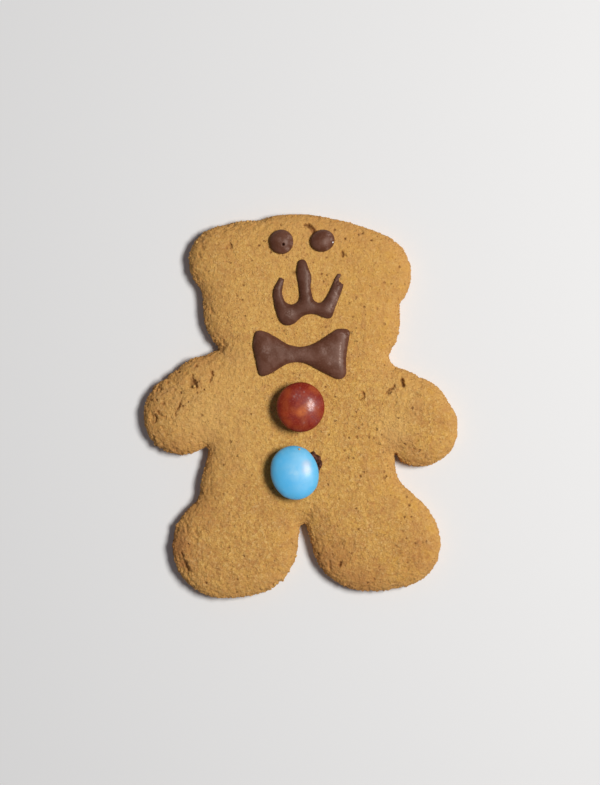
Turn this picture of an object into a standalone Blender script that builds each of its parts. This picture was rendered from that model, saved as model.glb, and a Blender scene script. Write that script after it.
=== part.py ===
"""A gingerbread teddy bear cookie with piped chocolate icing and two sugar-shelled chocolate candies.

The bear lies on its back. X runs across it, Y from its feet to its head and Z up, and the origin is on the
table under the middle of its box. Outlines are written in millimetres and built in metres.

The cookie is rolled dough cut with a bear cutter. It rose in the oven, so its top climbs quickly at the cut
edge and ever more gently to a crown, and its bottom edge is a little rounded. The icing was piped on it as
thick drops and strokes, which spread and set, so each is flat below and swells between its edges. The candies
are pressed on dabs of the same icing.
"""

import math

import bmesh
import bpy
from mathutils import Euler, Matrix, Vector
from mathutils.geometry import delaunay_2d_cdt

MM = 0.001
GAP = 0.3 * MM  # between pieces that touch

# Cookie
CROWN = 7.6 * MM  # its height far from the edge
DOME = [(2.95 * MM, 3.05 * MM), (0.5 * MM, 0.45 * MM)]  # drops to the edge, and how far inwards each fades
SHOULDER_RINGS = [0.35 * MM, 0.65 * MM, 1.0 * MM, 1.5 * MM]  # widths of the rings of faces along the top edge
HEEL_RADIUS = 0.7 * MM
HEEL_STEPS = 2

SHARPEST_SMOOTH = math.radians(50)  # edges that turn more than this are shaded as corners

# An outline has a point for each such length of it, and another for each such turn
COOKIE_SPACING = 3.0 * MM
ICING_SPACING = 0.9 * MM
TURN_STEP = math.radians(30)
FINE_STEP = 0.1 * MM

# Icing: a strip 2 * ICING_REACH wide has nearly its full swell, and a wider one is flat in its middle
ICING_BASE = CROWN + GAP
ICING_EDGE = 0.35 * MM
ICING_SWELL = 1.7 * MM
ICING_REACH = 2.3 * MM
ICING_ROUNDS = 160
CLEARANCE = 0.55  # of the spacing, between a point inside the icing and its edge
SAME_POINT = 0.001 * MM

# Eyes are dropped from the piping bag: middle, half widths across and along, turn, height, and the lean of
# the dough under them
EYES = {
    "eye_left": dict(middle=(-5.8, 49.3), half=(3.65, 3.7), turn=0, height=2.4, lean=(-5.5, 0)),
    "eye_right": dict(middle=(6.5, 49.6), half=(3.75, 3.3), turn=20, height=2.3, lean=(-5.5, 1)),
}
EYE_RINGS = 14

# Candies: middle, half widths, turn, thickness, tilt
CANDIES = {
    "candy_red": dict(middle=(-0.05, -0.25), half=(7.25, 7.5), turn=0, thickness=6.0, tilt=(0, 0)),
    "candy_blue": dict(middle=(-1.8, -19.85), half=(7.15, 8.15), turn=16, thickness=6.0, tilt=(0, 2)),
}
CANDY_RINGS = 14

# The dab of icing that each candy is pressed on
DABS = {
    "dab_red": dict(candy="candy_red", middle=(-0.3, -0.2), radius=4.8),
    "dab_blue": dict(candy="candy_blue", middle=(1.6, -17.3), radius=4.7),
}
DAB_FLOOR = 0.4 * MM  # icing left under the middle of a candy
DAB_HEIGHT = 1.35 * MM
DAB_SLOPE = 0.45 * MM  # how much narrower it is at the top
DAB_SIDES = 32

# An outline runs anticlockwise as a chain of rounds: (middle x, middle y, radius, from angle, to angle).
# A lobe turns anticlockwise, so its angle grows. A hollow turns clockwise about a middle outside the piece.
BEAR = [
    (-1.2, 20.75, 37.0, 80, 102.5),  # crown
    (-13.2, 60.9, 5.2, 292, 269),  # dip beside it
    (-23.0, 43.6, 10.5, 100, 222),  # left ear
    (-12.0, 29.5, 17.2, 180, 216),  # left cheek
    (-25.7, 17.6, 1.1, 40, -65),  # left side of the neck
    (-28.8, 6.0, 8.9, 100, 128),  # left shoulder
    (-35.6, -2.8, 11.6, 135, 272),  # left paw
    (-28.5, -12.8, 0.8, 120, 5),  # left armpit
    (-35.6, -25.2, 5.6, 3, -48),  # left hip
    (-22.8, -42.2, 15.6, 138, 262),  # left foot, outer side
    (-17.5, -40.5, 16.6, 277, 358),  # left foot, inner side
    (0.75, -36.5, 1.2, 175, 10),  # between the legs
    (20.0, -38.7, 16.8, 188, 265),  # right foot, inner side
    (29.5, -41.8, 12.4, 285, 345),  # right foot, heel
    (23.0, -42.5, 19.0, 7, 50),  # right foot, outer side
    (36.5, -18.5, 8.0, 238, 184),  # right hip
    (28.9, -16.5, 0.6, 190, 60),  # right armpit
    (35.8, -6.6, 11.4, 252, 385),  # right paw
    (32.8, -3.6, 12.4, 25, 72),  # right elbow
    (30.4, 15.1, 3.9, 262, 148),  # right side of the neck
    (9.6, 26.5, 20.2, -22, 6),  # right cheek
    (20.3, 39.6, 12.8, -42, 68),  # right ear
]

MUZZLE = [
    (0.5, 42.7, 1.4, 20, 170),  # top of the nose
    (2.8, 40.2, 4.0, 172, 190),  # its left side
    (-2.75, 33.0, 2.45, 5, -135),  # hollow between nose and left lip
    (-1.5, 34.3, 4.0, -160, -195),  # inside of the left lip
    (-5.75, 37.8, 0.8, -10, 150),  # hooked end of the left lip
    (-2.9, 33.4, 5.4, 160, 190),  # left lip
    (-3.7, 27.2, 3.1, 205, 290),  # left side of the chin
    (3.3, 22.6, 5.0, 125, 60),  # dip under the mouth
    (8.4, 27.5, 1.35, 255, 345),  # right side of the chin
    (12.3, 36.3, 0.6, -15, 100),  # broken end of the right lip
    (12.2, 37.95, 0.8, 245, 120),  # bite out of it
    (11.5, 39.0, 0.7, -15, 150),  # its tip
    (5.5, 33.0, 1.9, -40, -170),  # hollow between right lip and nose
    (-0.8, 38.2, 4.2, -15, 25),  # right side of the nose
]

BOW_TIE = [
    (-13.0, 9.0, 13.5, 64, 76),  # left wing, top
    (-12.4, 21.4, 1.4, 80, 170),  # left wing, upper corner
    (-7.3, 18.6, 7.0, 176, 195),  # left wing, side
    (-11.2, 10.4, 1.5, 195, 285),  # left wing, lower corner
    (-1.0, 4.6, 8.5, 118, 58),  # waist, below
    (11.5, 10.3, 2.3, 245, 365),  # right wing, lower corner
    (13.5, 21.9, 1.35, -10, 80),  # right wing, upper corner
    (11.6, 21.5, 1.8, 98, 122),  # right wing, top
    (-0.2, 27.5, 9.6, 296, 246),  # waist, above
]

COOKIE_COLOUR = (0.56, 0.31, 0.09)
ICING_COLOUR = (0.11, 0.055, 0.04)
RED_SHELL = (0.32, 0.03, 0.015)
BLUE_SHELL = (0.11, 0.44, 0.75)


def clear_scene():
    for obj in list(bpy.data.objects):
        bpy.data.objects.remove(obj)


def collection(name, shown=True):
    made = bpy.data.collections.new(name)
    made.hide_render = not shown
    bpy.context.scene.collection.children.link(made)
    return made


def material(name, colour, roughness):
    """A plain food finish."""
    made = bpy.data.materials.new(name)
    made.use_nodes = True
    shader = made.node_tree.nodes["Principled BSDF"]
    shader.inputs["Base Color"].default_value = (*colour, 1)
    shader.inputs["Roughness"].default_value = roughness
    shader.inputs["Metallic"].default_value = 0
    made.diffuse_color = (*colour, 1)
    return made


def object_from(bm, name, finish, where):
    """A bmesh made into a named, smooth shaded object in a collection."""
    bmesh.ops.recalc_face_normals(bm, faces=bm.faces)
    mesh = bpy.data.meshes.new(name)
    bm.to_mesh(mesh)
    bm.free()
    mesh.shade_smooth()
    mesh.set_sharp_from_angle(angle=SHARPEST_SMOOTH)
    if finish:
        mesh.materials.append(finish)
    made = bpy.data.objects.new(name, mesh)
    where.objects.link(made)
    return made


def rounded(x, y, radius, first, last):
    """One round of an outline as fine points, and the way the outline runs where it starts and ends."""
    middle = Vector((x, y)) * MM
    radius = radius * MM
    first, last = math.radians(first), math.radians(last)
    steps = max(2, math.ceil(abs(last - first) * radius / FINE_STEP))
    angles = [first + (last - first) * step / steps for step in range(steps + 1)]
    points = [middle + radius * Vector((math.cos(angle), math.sin(angle))) for angle in angles]
    forwards = math.copysign(1, last - first)
    runs = [forwards * Vector((-math.sin(angle), math.cos(angle))) for angle in (first, last)]
    return points, runs[0], runs[1]


def joint(start, start_run, end, end_run):
    """Fine points on a smooth curve that leaves one round and meets the next in line."""
    reach = (end - start).length
    steps = max(1, math.ceil(reach / FINE_STEP))
    pulled_start = start + start_run * reach / 3
    pulled_end = end - end_run * reach / 3
    points = []
    for step in range(1, steps):
        t = step / steps
        s = 1 - t
        points.append(s**3 * start + 3 * s * s * t * pulled_start + 3 * s * t * t * pulled_end + t**3 * end)
    return points


def outline(rounds, spacing):
    """The points of a closed chain of rounds, anticlockwise: closer together where it turns more."""
    arcs = [rounded(*each) for each in rounds]
    fine = []
    for (points, _, run), (next_points, next_run, _) in zip(arcs, arcs[1:] + arcs[:1]):
        fine += points + joint(points[-1], run, next_points[0], next_run)
    travelled = [0.0]
    for before, here, after in zip(fine[-1:] + fine[:-1], fine, fine[1:] + fine[:1]):
        turn = abs((here - before).angle(after - here, 0))
        travelled.append(travelled[-1] + (after - here).length / spacing + turn / TURN_STEP)
    count = round(travelled[-1])
    stride = travelled[-1] / count
    strides = [int(distance / stride) for distance in travelled]
    return [point for i, point in enumerate(fine) if strides[i] != strides[i + 1]]


def distance_to(line, point):
    """How far a point is from a closed line."""
    best = math.inf
    for a, b in zip(line, line[1:] + line[:1]):
        along = b - a
        t = min(1, max(0, (point - a).dot(along) / along.length_squared))
        best = min(best, (a + t * along - point).length)
    return best


def is_inside(line, point):
    inside = False
    for a, b in zip(line, line[1:] + line[:1]):
        if (a.y > point.y) != (b.y > point.y):
            crossing = a.x + (point.y - a.y) / (b.y - a.y) * (b.x - a.x)
            inside ^= point.x < crossing
    return inside


def filling(line, spacing):
    """A honeycomb of points inside a closed line, clear of it."""
    low_x, high_x = min(p.x for p in line), max(p.x for p in line)
    low_y, high_y = min(p.y for p in line), max(p.y for p in line)
    row_height = spacing * math.sqrt(3) / 2
    points = []
    for row in range(math.ceil((high_y - low_y) / row_height)):
        shift = spacing / 2 * (row % 2)
        for column in range(math.ceil((high_x - low_x) / spacing)):
            point = Vector((low_x + shift + column * spacing, low_y + row * row_height))
            if is_inside(line, point) and distance_to(line, point) > spacing * CLEARANCE:
                points.append(point)
    return points


def round_under(bm, face):
    """Insets the bottom face again and again, so that its edge becomes a quarter round."""
    for step in range(HEEL_STEPS):
        before, after = (math.pi / 2 * s / HEEL_STEPS for s in (step, step + 1))
        bmesh.ops.inset_individual(
            bm,
            faces=[face],
            thickness=HEEL_RADIUS * (math.cos(before) - math.cos(after)),
            depth=HEEL_RADIUS * (math.sin(after) - math.sin(before)),
            use_even_offset=True,
        )


def dome_height(distance):
    """How high the dough is at this distance from its edge."""
    return CROWN - sum(drop * math.exp(-distance / fade) for drop, fade in DOME)


def honeycomb(bm, face, spacing):
    """Replaces a flat face by triangles of even size."""
    rim = list(face.verts)
    line = [vert.co.xy for vert in rim]
    border = [(i, (i + 1) % len(line)) for i in range(len(line))]
    inside_only = 1
    points, _, faces, *_ = delaunay_2d_cdt(line + filling(line, spacing), border, [], inside_only, SAME_POINT)
    level = rim[0].co.z
    verts = rim + [bm.verts.new((p.x, p.y, level)) for p in points[len(rim) :]]
    bmesh.ops.delete(bm, geom=[face], context="FACES_ONLY")
    for corners in faces:
        bm.faces.new([verts[i] for i in corners])


def make_cookie(where):
    bm = bmesh.new()
    line = outline(BEAR, COOKIE_SPACING)
    wall_top = dome_height(0)
    rim = [bm.verts.new((p.x, p.y, HEEL_RADIUS)) for p in line]
    bottom = bm.faces.new(rim)
    raised = bmesh.ops.extrude_face_region(bm, geom=[bottom], use_keep_orig=True)["geom"]
    top = next(item for item in raised if isinstance(item, bmesh.types.BMFace))
    bmesh.ops.translate(bm, verts=top.verts, vec=(0, 0, wall_top - HEEL_RADIUS))
    bm.normal_update()
    for width in SHOULDER_RINGS:
        bmesh.ops.inset_individual(bm, faces=[top], thickness=width, use_even_offset=True)
    honeycomb(bm, top, COOKIE_SPACING)
    middle = (wall_top + HEEL_RADIUS) / 2
    for vert in [vert for vert in bm.verts if vert.co.z > middle]:
        vert.co.z = dome_height(distance_to(line, vert.co.xy))
    round_under(bm, bottom)
    return object_from(bm, "cookie", material("gingerbread", COOKIE_COLOUR, 0.9), where)


def swell(bm, spacing):
    """Raises a flat skin as soft icing swells. Each point is drawn to the mean of its neighbours and pushed
    up from inside, and the deeper it is the more its weight holds it down. The root makes the sides steep."""
    push = (spacing / ICING_REACH) ** 2 / 4
    inner = [v for v in bm.verts if not v.is_boundary]
    neighbours = {v: [e.other_vert(v) for e in v.link_edges] for v in inner}
    depth = {v: 0.0 for v in bm.verts}
    for _ in range(ICING_ROUNDS):
        for v in inner:
            mean = sum(depth[n] for n in neighbours[v]) / len(neighbours[v])
            depth[v] = (mean + push) / (1 + push)
    for v in bm.verts:
        v.co.z = ICING_BASE + ICING_EDGE + ICING_SWELL * math.sqrt(depth[v])


def piped(name, rounds, finish, where):
    """Icing piped and spread to an outline."""
    line = outline(rounds, ICING_SPACING)
    border = [(i, (i + 1) % len(line)) for i in range(len(line))]
    inside_only = 1
    points, _, faces, *_ = delaunay_2d_cdt(
        line + filling(line, ICING_SPACING), border, [], inside_only, SAME_POINT
    )
    bm = bmesh.new()
    verts = [bm.verts.new((p.x, p.y, 0)) for p in points]
    for face in faces:
        bm.faces.new([verts[i] for i in face])
    swell(bm, ICING_SPACING)
    rim = [edge for edge in bm.edges if edge.is_boundary]
    wall = bmesh.ops.extrude_edge_only(bm, edges=rim)["geom"]
    foot = [item for item in wall if isinstance(item, bmesh.types.BMVert)]
    for vert in foot:
        vert.co.z = ICING_BASE
    bmesh.ops.holes_fill(bm, edges=[edge for edge in bm.edges if edge.is_boundary])
    return object_from(bm, name, finish, where)


def squashed_ball(half, rings, turn=0.0, tilt=(0.0, 0.0)):
    """A bmesh of a ball with these three half sizes in metres, tilted and turned by degrees."""
    bm = bmesh.new()
    bmesh.ops.create_uvsphere(bm, u_segments=2 * rings, v_segments=rings, radius=1)
    leaning = Euler([math.radians(angle) for angle in (*tilt, turn)]).to_matrix().to_4x4()
    bmesh.ops.transform(bm, matrix=leaning @ Matrix.Diagonal((*half, 1)), verts=bm.verts)
    return bm


def make_eye(name, middle, half, turn, height, lean, finish, where):
    """A drop of icing on the sloping dough: the top half of a squashed ball."""
    bm = squashed_ball((half[0] * MM, half[1] * MM, height * MM), EYE_RINGS, turn)
    everything = bm.verts[:] + bm.edges[:] + bm.faces[:]
    bmesh.ops.bisect_plane(bm, geom=everything, dist=SAME_POINT, plane_no=(0, 0, 1), clear_inner=True)
    bmesh.ops.holes_fill(bm, edges=[edge for edge in bm.edges if edge.is_boundary])
    eye = object_from(bm, name, finish, where)
    spot = Vector(middle) * MM
    eye.location = (*spot, dome_height(distance_to(outline(BEAR, COOKIE_SPACING), spot)) + GAP)
    eye.rotation_euler = (math.radians(lean[0]), math.radians(lean[1]), 0)
    return eye


def candy(name, middle, half, turn, thickness, tilt, finish, where, grown=0.0):
    """A sugar shell round chocolate, with its lowest point just clear of the dab's floor."""
    size = (half[0] * MM + grown, half[1] * MM + grown, thickness / 2 * MM + grown)
    made = object_from(squashed_ball(size, CANDY_RINGS, turn, tilt), name, finish, where)
    made.location = (middle[0] * MM, middle[1] * MM, ICING_BASE + DAB_FLOOR + GAP + thickness / 2 * MM)
    return made


def make_dab(name, middle, radius, pressed_by, finish, where, cutters):
    """A low round of icing under a candy, with the candy's own hollow pressed in it."""
    bm = bmesh.new()
    bmesh.ops.create_cone(
        bm,
        cap_ends=True,
        segments=DAB_SIDES,
        radius1=radius * MM,
        radius2=radius * MM - DAB_SLOPE,
        depth=DAB_HEIGHT,
    )
    dab = object_from(bm, name, finish, where)
    dab.location = (middle[0] * MM, middle[1] * MM, ICING_BASE + DAB_HEIGHT / 2)
    cutter = candy(name + "_cutter", **pressed_by, finish=None, where=cutters, grown=GAP)
    cutter.hide_render = True
    cutter.display_type = "WIRE"
    hollow = dab.modifiers.new("pressed_in", "BOOLEAN")
    hollow.operation = "DIFFERENCE"
    hollow.object = cutter
    return dab


def main():
    clear_scene()
    bear = collection("gingerbread_bear")
    cutters = collection("cutters", shown=False)
    icing = material("chocolate_icing", ICING_COLOUR, 0.5)
    make_cookie(bear)
    piped("muzzle", MUZZLE, icing, bear)
    piped("bow_tie", BOW_TIE, icing, bear)
    for name, sizes in EYES.items():
        make_eye(name, **sizes, finish=icing, where=bear)
    shells = {
        "candy_red": material("red_sugar_shell", RED_SHELL, 0.3),
        "candy_blue": material("blue_sugar_shell", BLUE_SHELL, 0.25),
    }
    for name, sizes in CANDIES.items():
        candy(name, **sizes, finish=shells[name], where=bear)
    for name, sizes in DABS.items():
        pressed_by = CANDIES[sizes["candy"]]
        make_dab(name, sizes["middle"], sizes["radius"], pressed_by, icing, bear, cutters)


main()
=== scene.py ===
# %% [markdown]
# # A gingerbread teddy bear
# The real thing is a flat cookie, cut from rolled dough with a bear cutter, baked, and decorated with
# chocolate icing and two sugar-shelled candies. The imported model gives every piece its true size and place.
# This notebook gives each one its surface: the crumb, cracks and browned edge of the dough, the soft shine of
# set icing and the gloss of the shells. It starts by loading that model as a fixed frame.

# %% Load the frame
import math
import random

import bpy
import numpy as np
from mathutils import Euler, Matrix, Quaternion, Vector, kdtree


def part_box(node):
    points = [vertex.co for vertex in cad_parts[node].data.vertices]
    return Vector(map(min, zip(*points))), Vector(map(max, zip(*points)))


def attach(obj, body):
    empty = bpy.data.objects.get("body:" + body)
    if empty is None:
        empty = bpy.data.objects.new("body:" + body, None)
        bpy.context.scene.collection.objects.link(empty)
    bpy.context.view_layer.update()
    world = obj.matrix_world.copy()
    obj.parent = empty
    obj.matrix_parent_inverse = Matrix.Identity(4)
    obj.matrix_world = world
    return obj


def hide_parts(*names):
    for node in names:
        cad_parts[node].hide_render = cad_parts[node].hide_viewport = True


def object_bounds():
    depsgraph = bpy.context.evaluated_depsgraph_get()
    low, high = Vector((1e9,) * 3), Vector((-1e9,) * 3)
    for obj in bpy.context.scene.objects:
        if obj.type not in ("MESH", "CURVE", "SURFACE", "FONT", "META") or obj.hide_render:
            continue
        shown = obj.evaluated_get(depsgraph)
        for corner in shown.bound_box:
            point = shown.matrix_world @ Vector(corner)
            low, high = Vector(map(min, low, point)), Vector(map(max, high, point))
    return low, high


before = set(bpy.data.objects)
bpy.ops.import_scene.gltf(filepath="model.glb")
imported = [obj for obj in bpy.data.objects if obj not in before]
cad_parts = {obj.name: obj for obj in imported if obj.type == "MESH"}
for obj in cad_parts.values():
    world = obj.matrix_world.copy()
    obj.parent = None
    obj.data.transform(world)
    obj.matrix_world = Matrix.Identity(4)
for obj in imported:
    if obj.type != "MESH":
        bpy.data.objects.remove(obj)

MM = 0.001
cad_low, cad_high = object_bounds()
print("frame", [f"{side / MM:.1f} mm" for side in cad_high - cad_low])

# %% [markdown]
# ## Camera, floor and light
# The cookie lies on a plain pale table and is seen from straight above. A long lens far away keeps the raised
# candies from looking larger than they are. One soft round light stands to the right and a little to the head
# side, about sixty degrees up, so that every dent has a dark wall on the right and a pale one on the left. The
# light is a third of a metre wide a metre away, which gives shadows a soft edge, and a dim even sky fills them.

# %% Camera
LENS = 135  # mm
SENSOR = 36  # mm, along the long side of the picture
FRAME_LENGTH = 0.2355  # of table seen along that side
LOOK_AT = Vector((-0.0002, 0.0041, 0.007))

camera_data = bpy.data.cameras.new("camera")
camera_data.lens = LENS
camera_data.sensor_width = SENSOR
camera_data.clip_start = 0.01
camera = bpy.data.objects.new("camera", camera_data)
camera.location = LOOK_AT + Vector((0, 0, FRAME_LENGTH * LENS / SENSOR))
bpy.context.scene.collection.objects.link(camera)
bpy.context.scene.camera = camera
print("camera height", round(camera.location.z, 3))

# %% Floor, lights and sky
FLOOR_SIZE = 4.0
FLOOR_DROP = 0.05 * MM  # keeps it off the underside of the cookie
LIGHT_DISTANCE = 1.0
LIGHT_AZIMUTH = math.radians(10)  # from +X towards +Y
LIGHT_ELEVATION = math.radians(60.5)
LIGHT_ROLL = math.radians(-18)  # about its own axis
LIGHT_SIZE = (0.42, 0.30)
LIGHT_POWER = 10.4
SKY = (0.108, 0.110, 0.130)

bpy.ops.object.select_all(action="DESELECT")
bpy.ops.mesh.primitive_plane_add(size=FLOOR_SIZE, location=(0, 0, -FLOOR_DROP))
floor = bpy.context.object
floor.name = "floor"
floor_paint = bpy.data.materials.new("floor_paint")
floor_paint.use_nodes = True
floor_paint.node_tree.nodes["Principled BSDF"].inputs["Base Color"].default_value = (0.78, 0.77, 0.75, 1)
floor_paint.node_tree.nodes["Principled BSDF"].inputs["Roughness"].default_value = 0.9
floor.data.materials.append(floor_paint)

towards_light = Vector(
    (
        math.cos(LIGHT_ELEVATION) * math.cos(LIGHT_AZIMUTH),
        math.cos(LIGHT_ELEVATION) * math.sin(LIGHT_AZIMUTH),
        math.sin(LIGHT_ELEVATION),
    )
)
bpy.ops.object.light_add(type="AREA", location=LOOK_AT + towards_light * LIGHT_DISTANCE)
light = bpy.context.object
light.name = "soft_light"
light.rotation_euler = (towards_light.to_track_quat("Z", "Y") @ Quaternion((0, 0, 1), LIGHT_ROLL)).to_euler()
light.data.shape = "ELLIPSE"
light.data.size, light.data.size_y = LIGHT_SIZE
light.data.energy = LIGHT_POWER

sky = bpy.data.worlds.new("sky")
sky.use_nodes = True
sky.node_tree.nodes["Background"].inputs["Color"].default_value = (*SKY, 1)
bpy.context.scene.world = sky
bpy.context.scene.view_settings.view_transform = "Standard"
print("light at", [round(c, 3) for c in light.location])

# %% [markdown]
# ## Tools of the bench
# A few helpers say in one word what takes several clicks by hand: select only one piece, apply a modifier, take
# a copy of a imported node, and paint weights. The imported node's mesh is loose triangles, so a copy of it is
# merged into one skin first. Weights say how strongly a modifier works at each point, and a stain is the same
# kind of number kept for a material to read.

# %% Helpers for shapes
TOUCHING = 0.01 * MM
PAINT_STEPS = 100


def only(piece):
    """Deselects everything and makes this piece the active one."""
    bpy.ops.object.select_all(action="DESELECT")
    piece.select_set(True)
    bpy.context.view_layer.objects.active = piece


def modify(piece, kind, **settings):
    """Adds a modifier with these settings and applies it."""
    only(piece)
    made = piece.modifiers.new(kind.lower(), kind)
    for name, value in settings.items():
        setattr(made, name, value)
    bpy.ops.object.modifier_apply(modifier=made.name)


def merged_copy(node_name, name):
    """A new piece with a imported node's shape as one closed skin."""
    piece = bpy.data.objects.new(name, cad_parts[node_name].data.copy())
    piece.data.name = name
    piece.data.materials.clear()
    bpy.context.scene.collection.objects.link(piece)
    only(piece)
    bpy.ops.object.mode_set(mode="EDIT")
    bpy.ops.mesh.select_all(action="SELECT")
    bpy.ops.mesh.remove_doubles(threshold=TOUCHING)
    bpy.ops.object.mode_set(mode="OBJECT")
    return piece


def points_of(piece):
    """Where its points are, in millimetres."""
    flat = np.empty(len(piece.data.vertices) * 3, np.float32)
    piece.data.vertices.foreach_get("co", flat)
    return flat.reshape(-1, 3).astype(float) / MM


def normals_of(piece):
    """Which way each of its points faces."""
    flat = np.empty(len(piece.data.vertices) * 3, np.float32)
    piece.data.vertex_normals.foreach_get("vector", flat)
    return flat.reshape(-1, 3).astype(float)


def paint(piece, group, weights):
    """Paints a vertex group, in a hundred strengths from 0 to 1."""
    made = piece.vertex_groups.get(group) or piece.vertex_groups.new(name=group)
    strengths = np.round(np.clip(weights, 0, 1) * PAINT_STEPS).astype(int)
    for strength in np.unique(strengths):
        where = np.flatnonzero(strengths == strength).tolist()
        made.add(where, float(strength) / PAINT_STEPS, "REPLACE")


def stain(piece, name, values):
    """Keeps a number at each point for a material to read."""
    layer = piece.data.attributes.get(name) or piece.data.attributes.new(name, "FLOAT", "POINT")
    layer.data.foreach_set("value", values.astype(np.float32))


def lumps(name, size, depth=2, kind="CLOUDS"):
    """A texture of soft clouds whose lumps have this size."""
    made = bpy.data.textures.new(name, kind)
    made.noise_scale = size
    made.noise_depth = depth
    made.noise_basis = "IMPROVED_PERLIN"
    return made


def roughen(piece, texture, height, middle=0.5, group="", direction="NORMAL"):
    """Moves the skin in and out by a texture. Where the texture equals middle, it stays."""
    modify(
        piece,
        "DISPLACE",
        texture=texture,
        texture_coords="LOCAL",
        strength=height,
        mid_level=middle,
        vertex_group=group,
        direction=direction,
    )


def ease(low, high, values):
    """0 below low, 1 above high, and a smooth climb between."""
    t = np.clip((values - low) / (high - low), 0, 1)
    return t * t * (3 - 2 * t)


def triangles(piece):
    return sum(len(polygon.vertices) - 2 for polygon in piece.data.polygons)


print("helpers ready")

# %% [markdown]
# ## Baked dough: one even skin
# The cookie is dense dough with a crumbly skin. Its outline and domed edge are already right in the packed
# node, but its faces are far too large to carry dents. Modelling it again from a primitive would lose the
# cutter's outline, so the copy is remeshed instead: small even squares all over, which can then be dented
# anywhere. The underside lies on the table, so most of its squares are merged again to leave more for the top.
# The cutter left a sharp cleft under the right arm. A wedge, made of a cube with one end drawn in, is cut away
# there with a Boolean modifier first, while the skin is still light.

# %% Dough skin
DOUGH_GRID = 0.38 * MM
CLEFT_AT = (28.9, -15.6)
CLEFT_SIZE = (2.2, 3.6, 24)
CLEFT_TURN = 20  # degrees
CLEFT_TIP = 0.35  # of its width at the open end

bpy.ops.object.select_all(action="DESELECT")
bpy.ops.mesh.primitive_cube_add(size=1)
cleft = bpy.context.object
cleft.name = "cleft"
bpy.ops.object.mode_set(mode="EDIT")
bpy.ops.transform.resize(value=[size * MM for size in CLEFT_SIZE])
bpy.ops.mesh.select_mode(type="VERT")
bpy.ops.mesh.select_all(action="DESELECT")
bpy.ops.object.mode_set(mode="OBJECT")
cleft.data.vertices.foreach_set("select", points_of(cleft)[:, 1] > 0)
bpy.ops.object.mode_set(mode="EDIT")
bpy.ops.transform.resize(value=(CLEFT_TIP, 1, 1), center_override=(0, 0, 0))
bpy.ops.object.mode_set(mode="OBJECT")
cleft.rotation_euler.z = math.radians(CLEFT_TURN)
cleft.location = (CLEFT_AT[0] * MM, CLEFT_AT[1] * MM, 0)

dough = merged_copy("cookie", "baked_dough")
modify(dough, "BOOLEAN", object=cleft, operation="DIFFERENCE", solver="EXACT")
bpy.data.objects.remove(cleft)
modify(dough, "REMESH", mode="VOXEL", voxel_size=DOUGH_GRID, use_smooth_shade=True)
height = points_of(dough)[:, 2]
paint(dough, "underside", 1 - ease(0.05, 0.3, height))
modify(dough, "DECIMATE", ratio=0.66, vertex_group="underside")
print("dough skin", triangles(dough), "triangles")

# %% [markdown]
# ## How far from the edge
# Dough browns and crumbles most at its edge, so much of what follows depends on how far a point is from it.
# The side wall's points give the edge, and a search tree finds the nearest of them to each point, seen from
# above.

# %% Distance to the edge
WALL_FACING = 0.25  # a wall's points face up or down less than this


def edge_distance(piece):
    """How far each point is from the side wall, seen from above, in mm."""
    points, facing = points_of(piece), normals_of(piece)[:, 2]
    wall = points[(np.abs(facing) < WALL_FACING) & (points[:, 2] < 4)][::3]
    tree = kdtree.KDTree(len(wall))
    for i, (x, y, _) in enumerate(wall):
        tree.insert((x, y, 0), i)
    tree.balance()
    return np.array([tree.find((x, y, 0))[2] for x, y, _ in points])


from_edge = edge_distance(dough)
print("farthest from the edge", round(float(from_edge.max()), 1), "mm")

# %% [markdown]
# ## Where the dough was nicked
# Gouges from lifting the dough, cracks from baking, burst bubbles and pin holes each have their place. They are
# listed here as short strokes and dots, in millimetres, with how wide and how deep they are. Carving each one
# by hand with a brush would give the same dents, but a list can be read, checked and changed.

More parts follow.
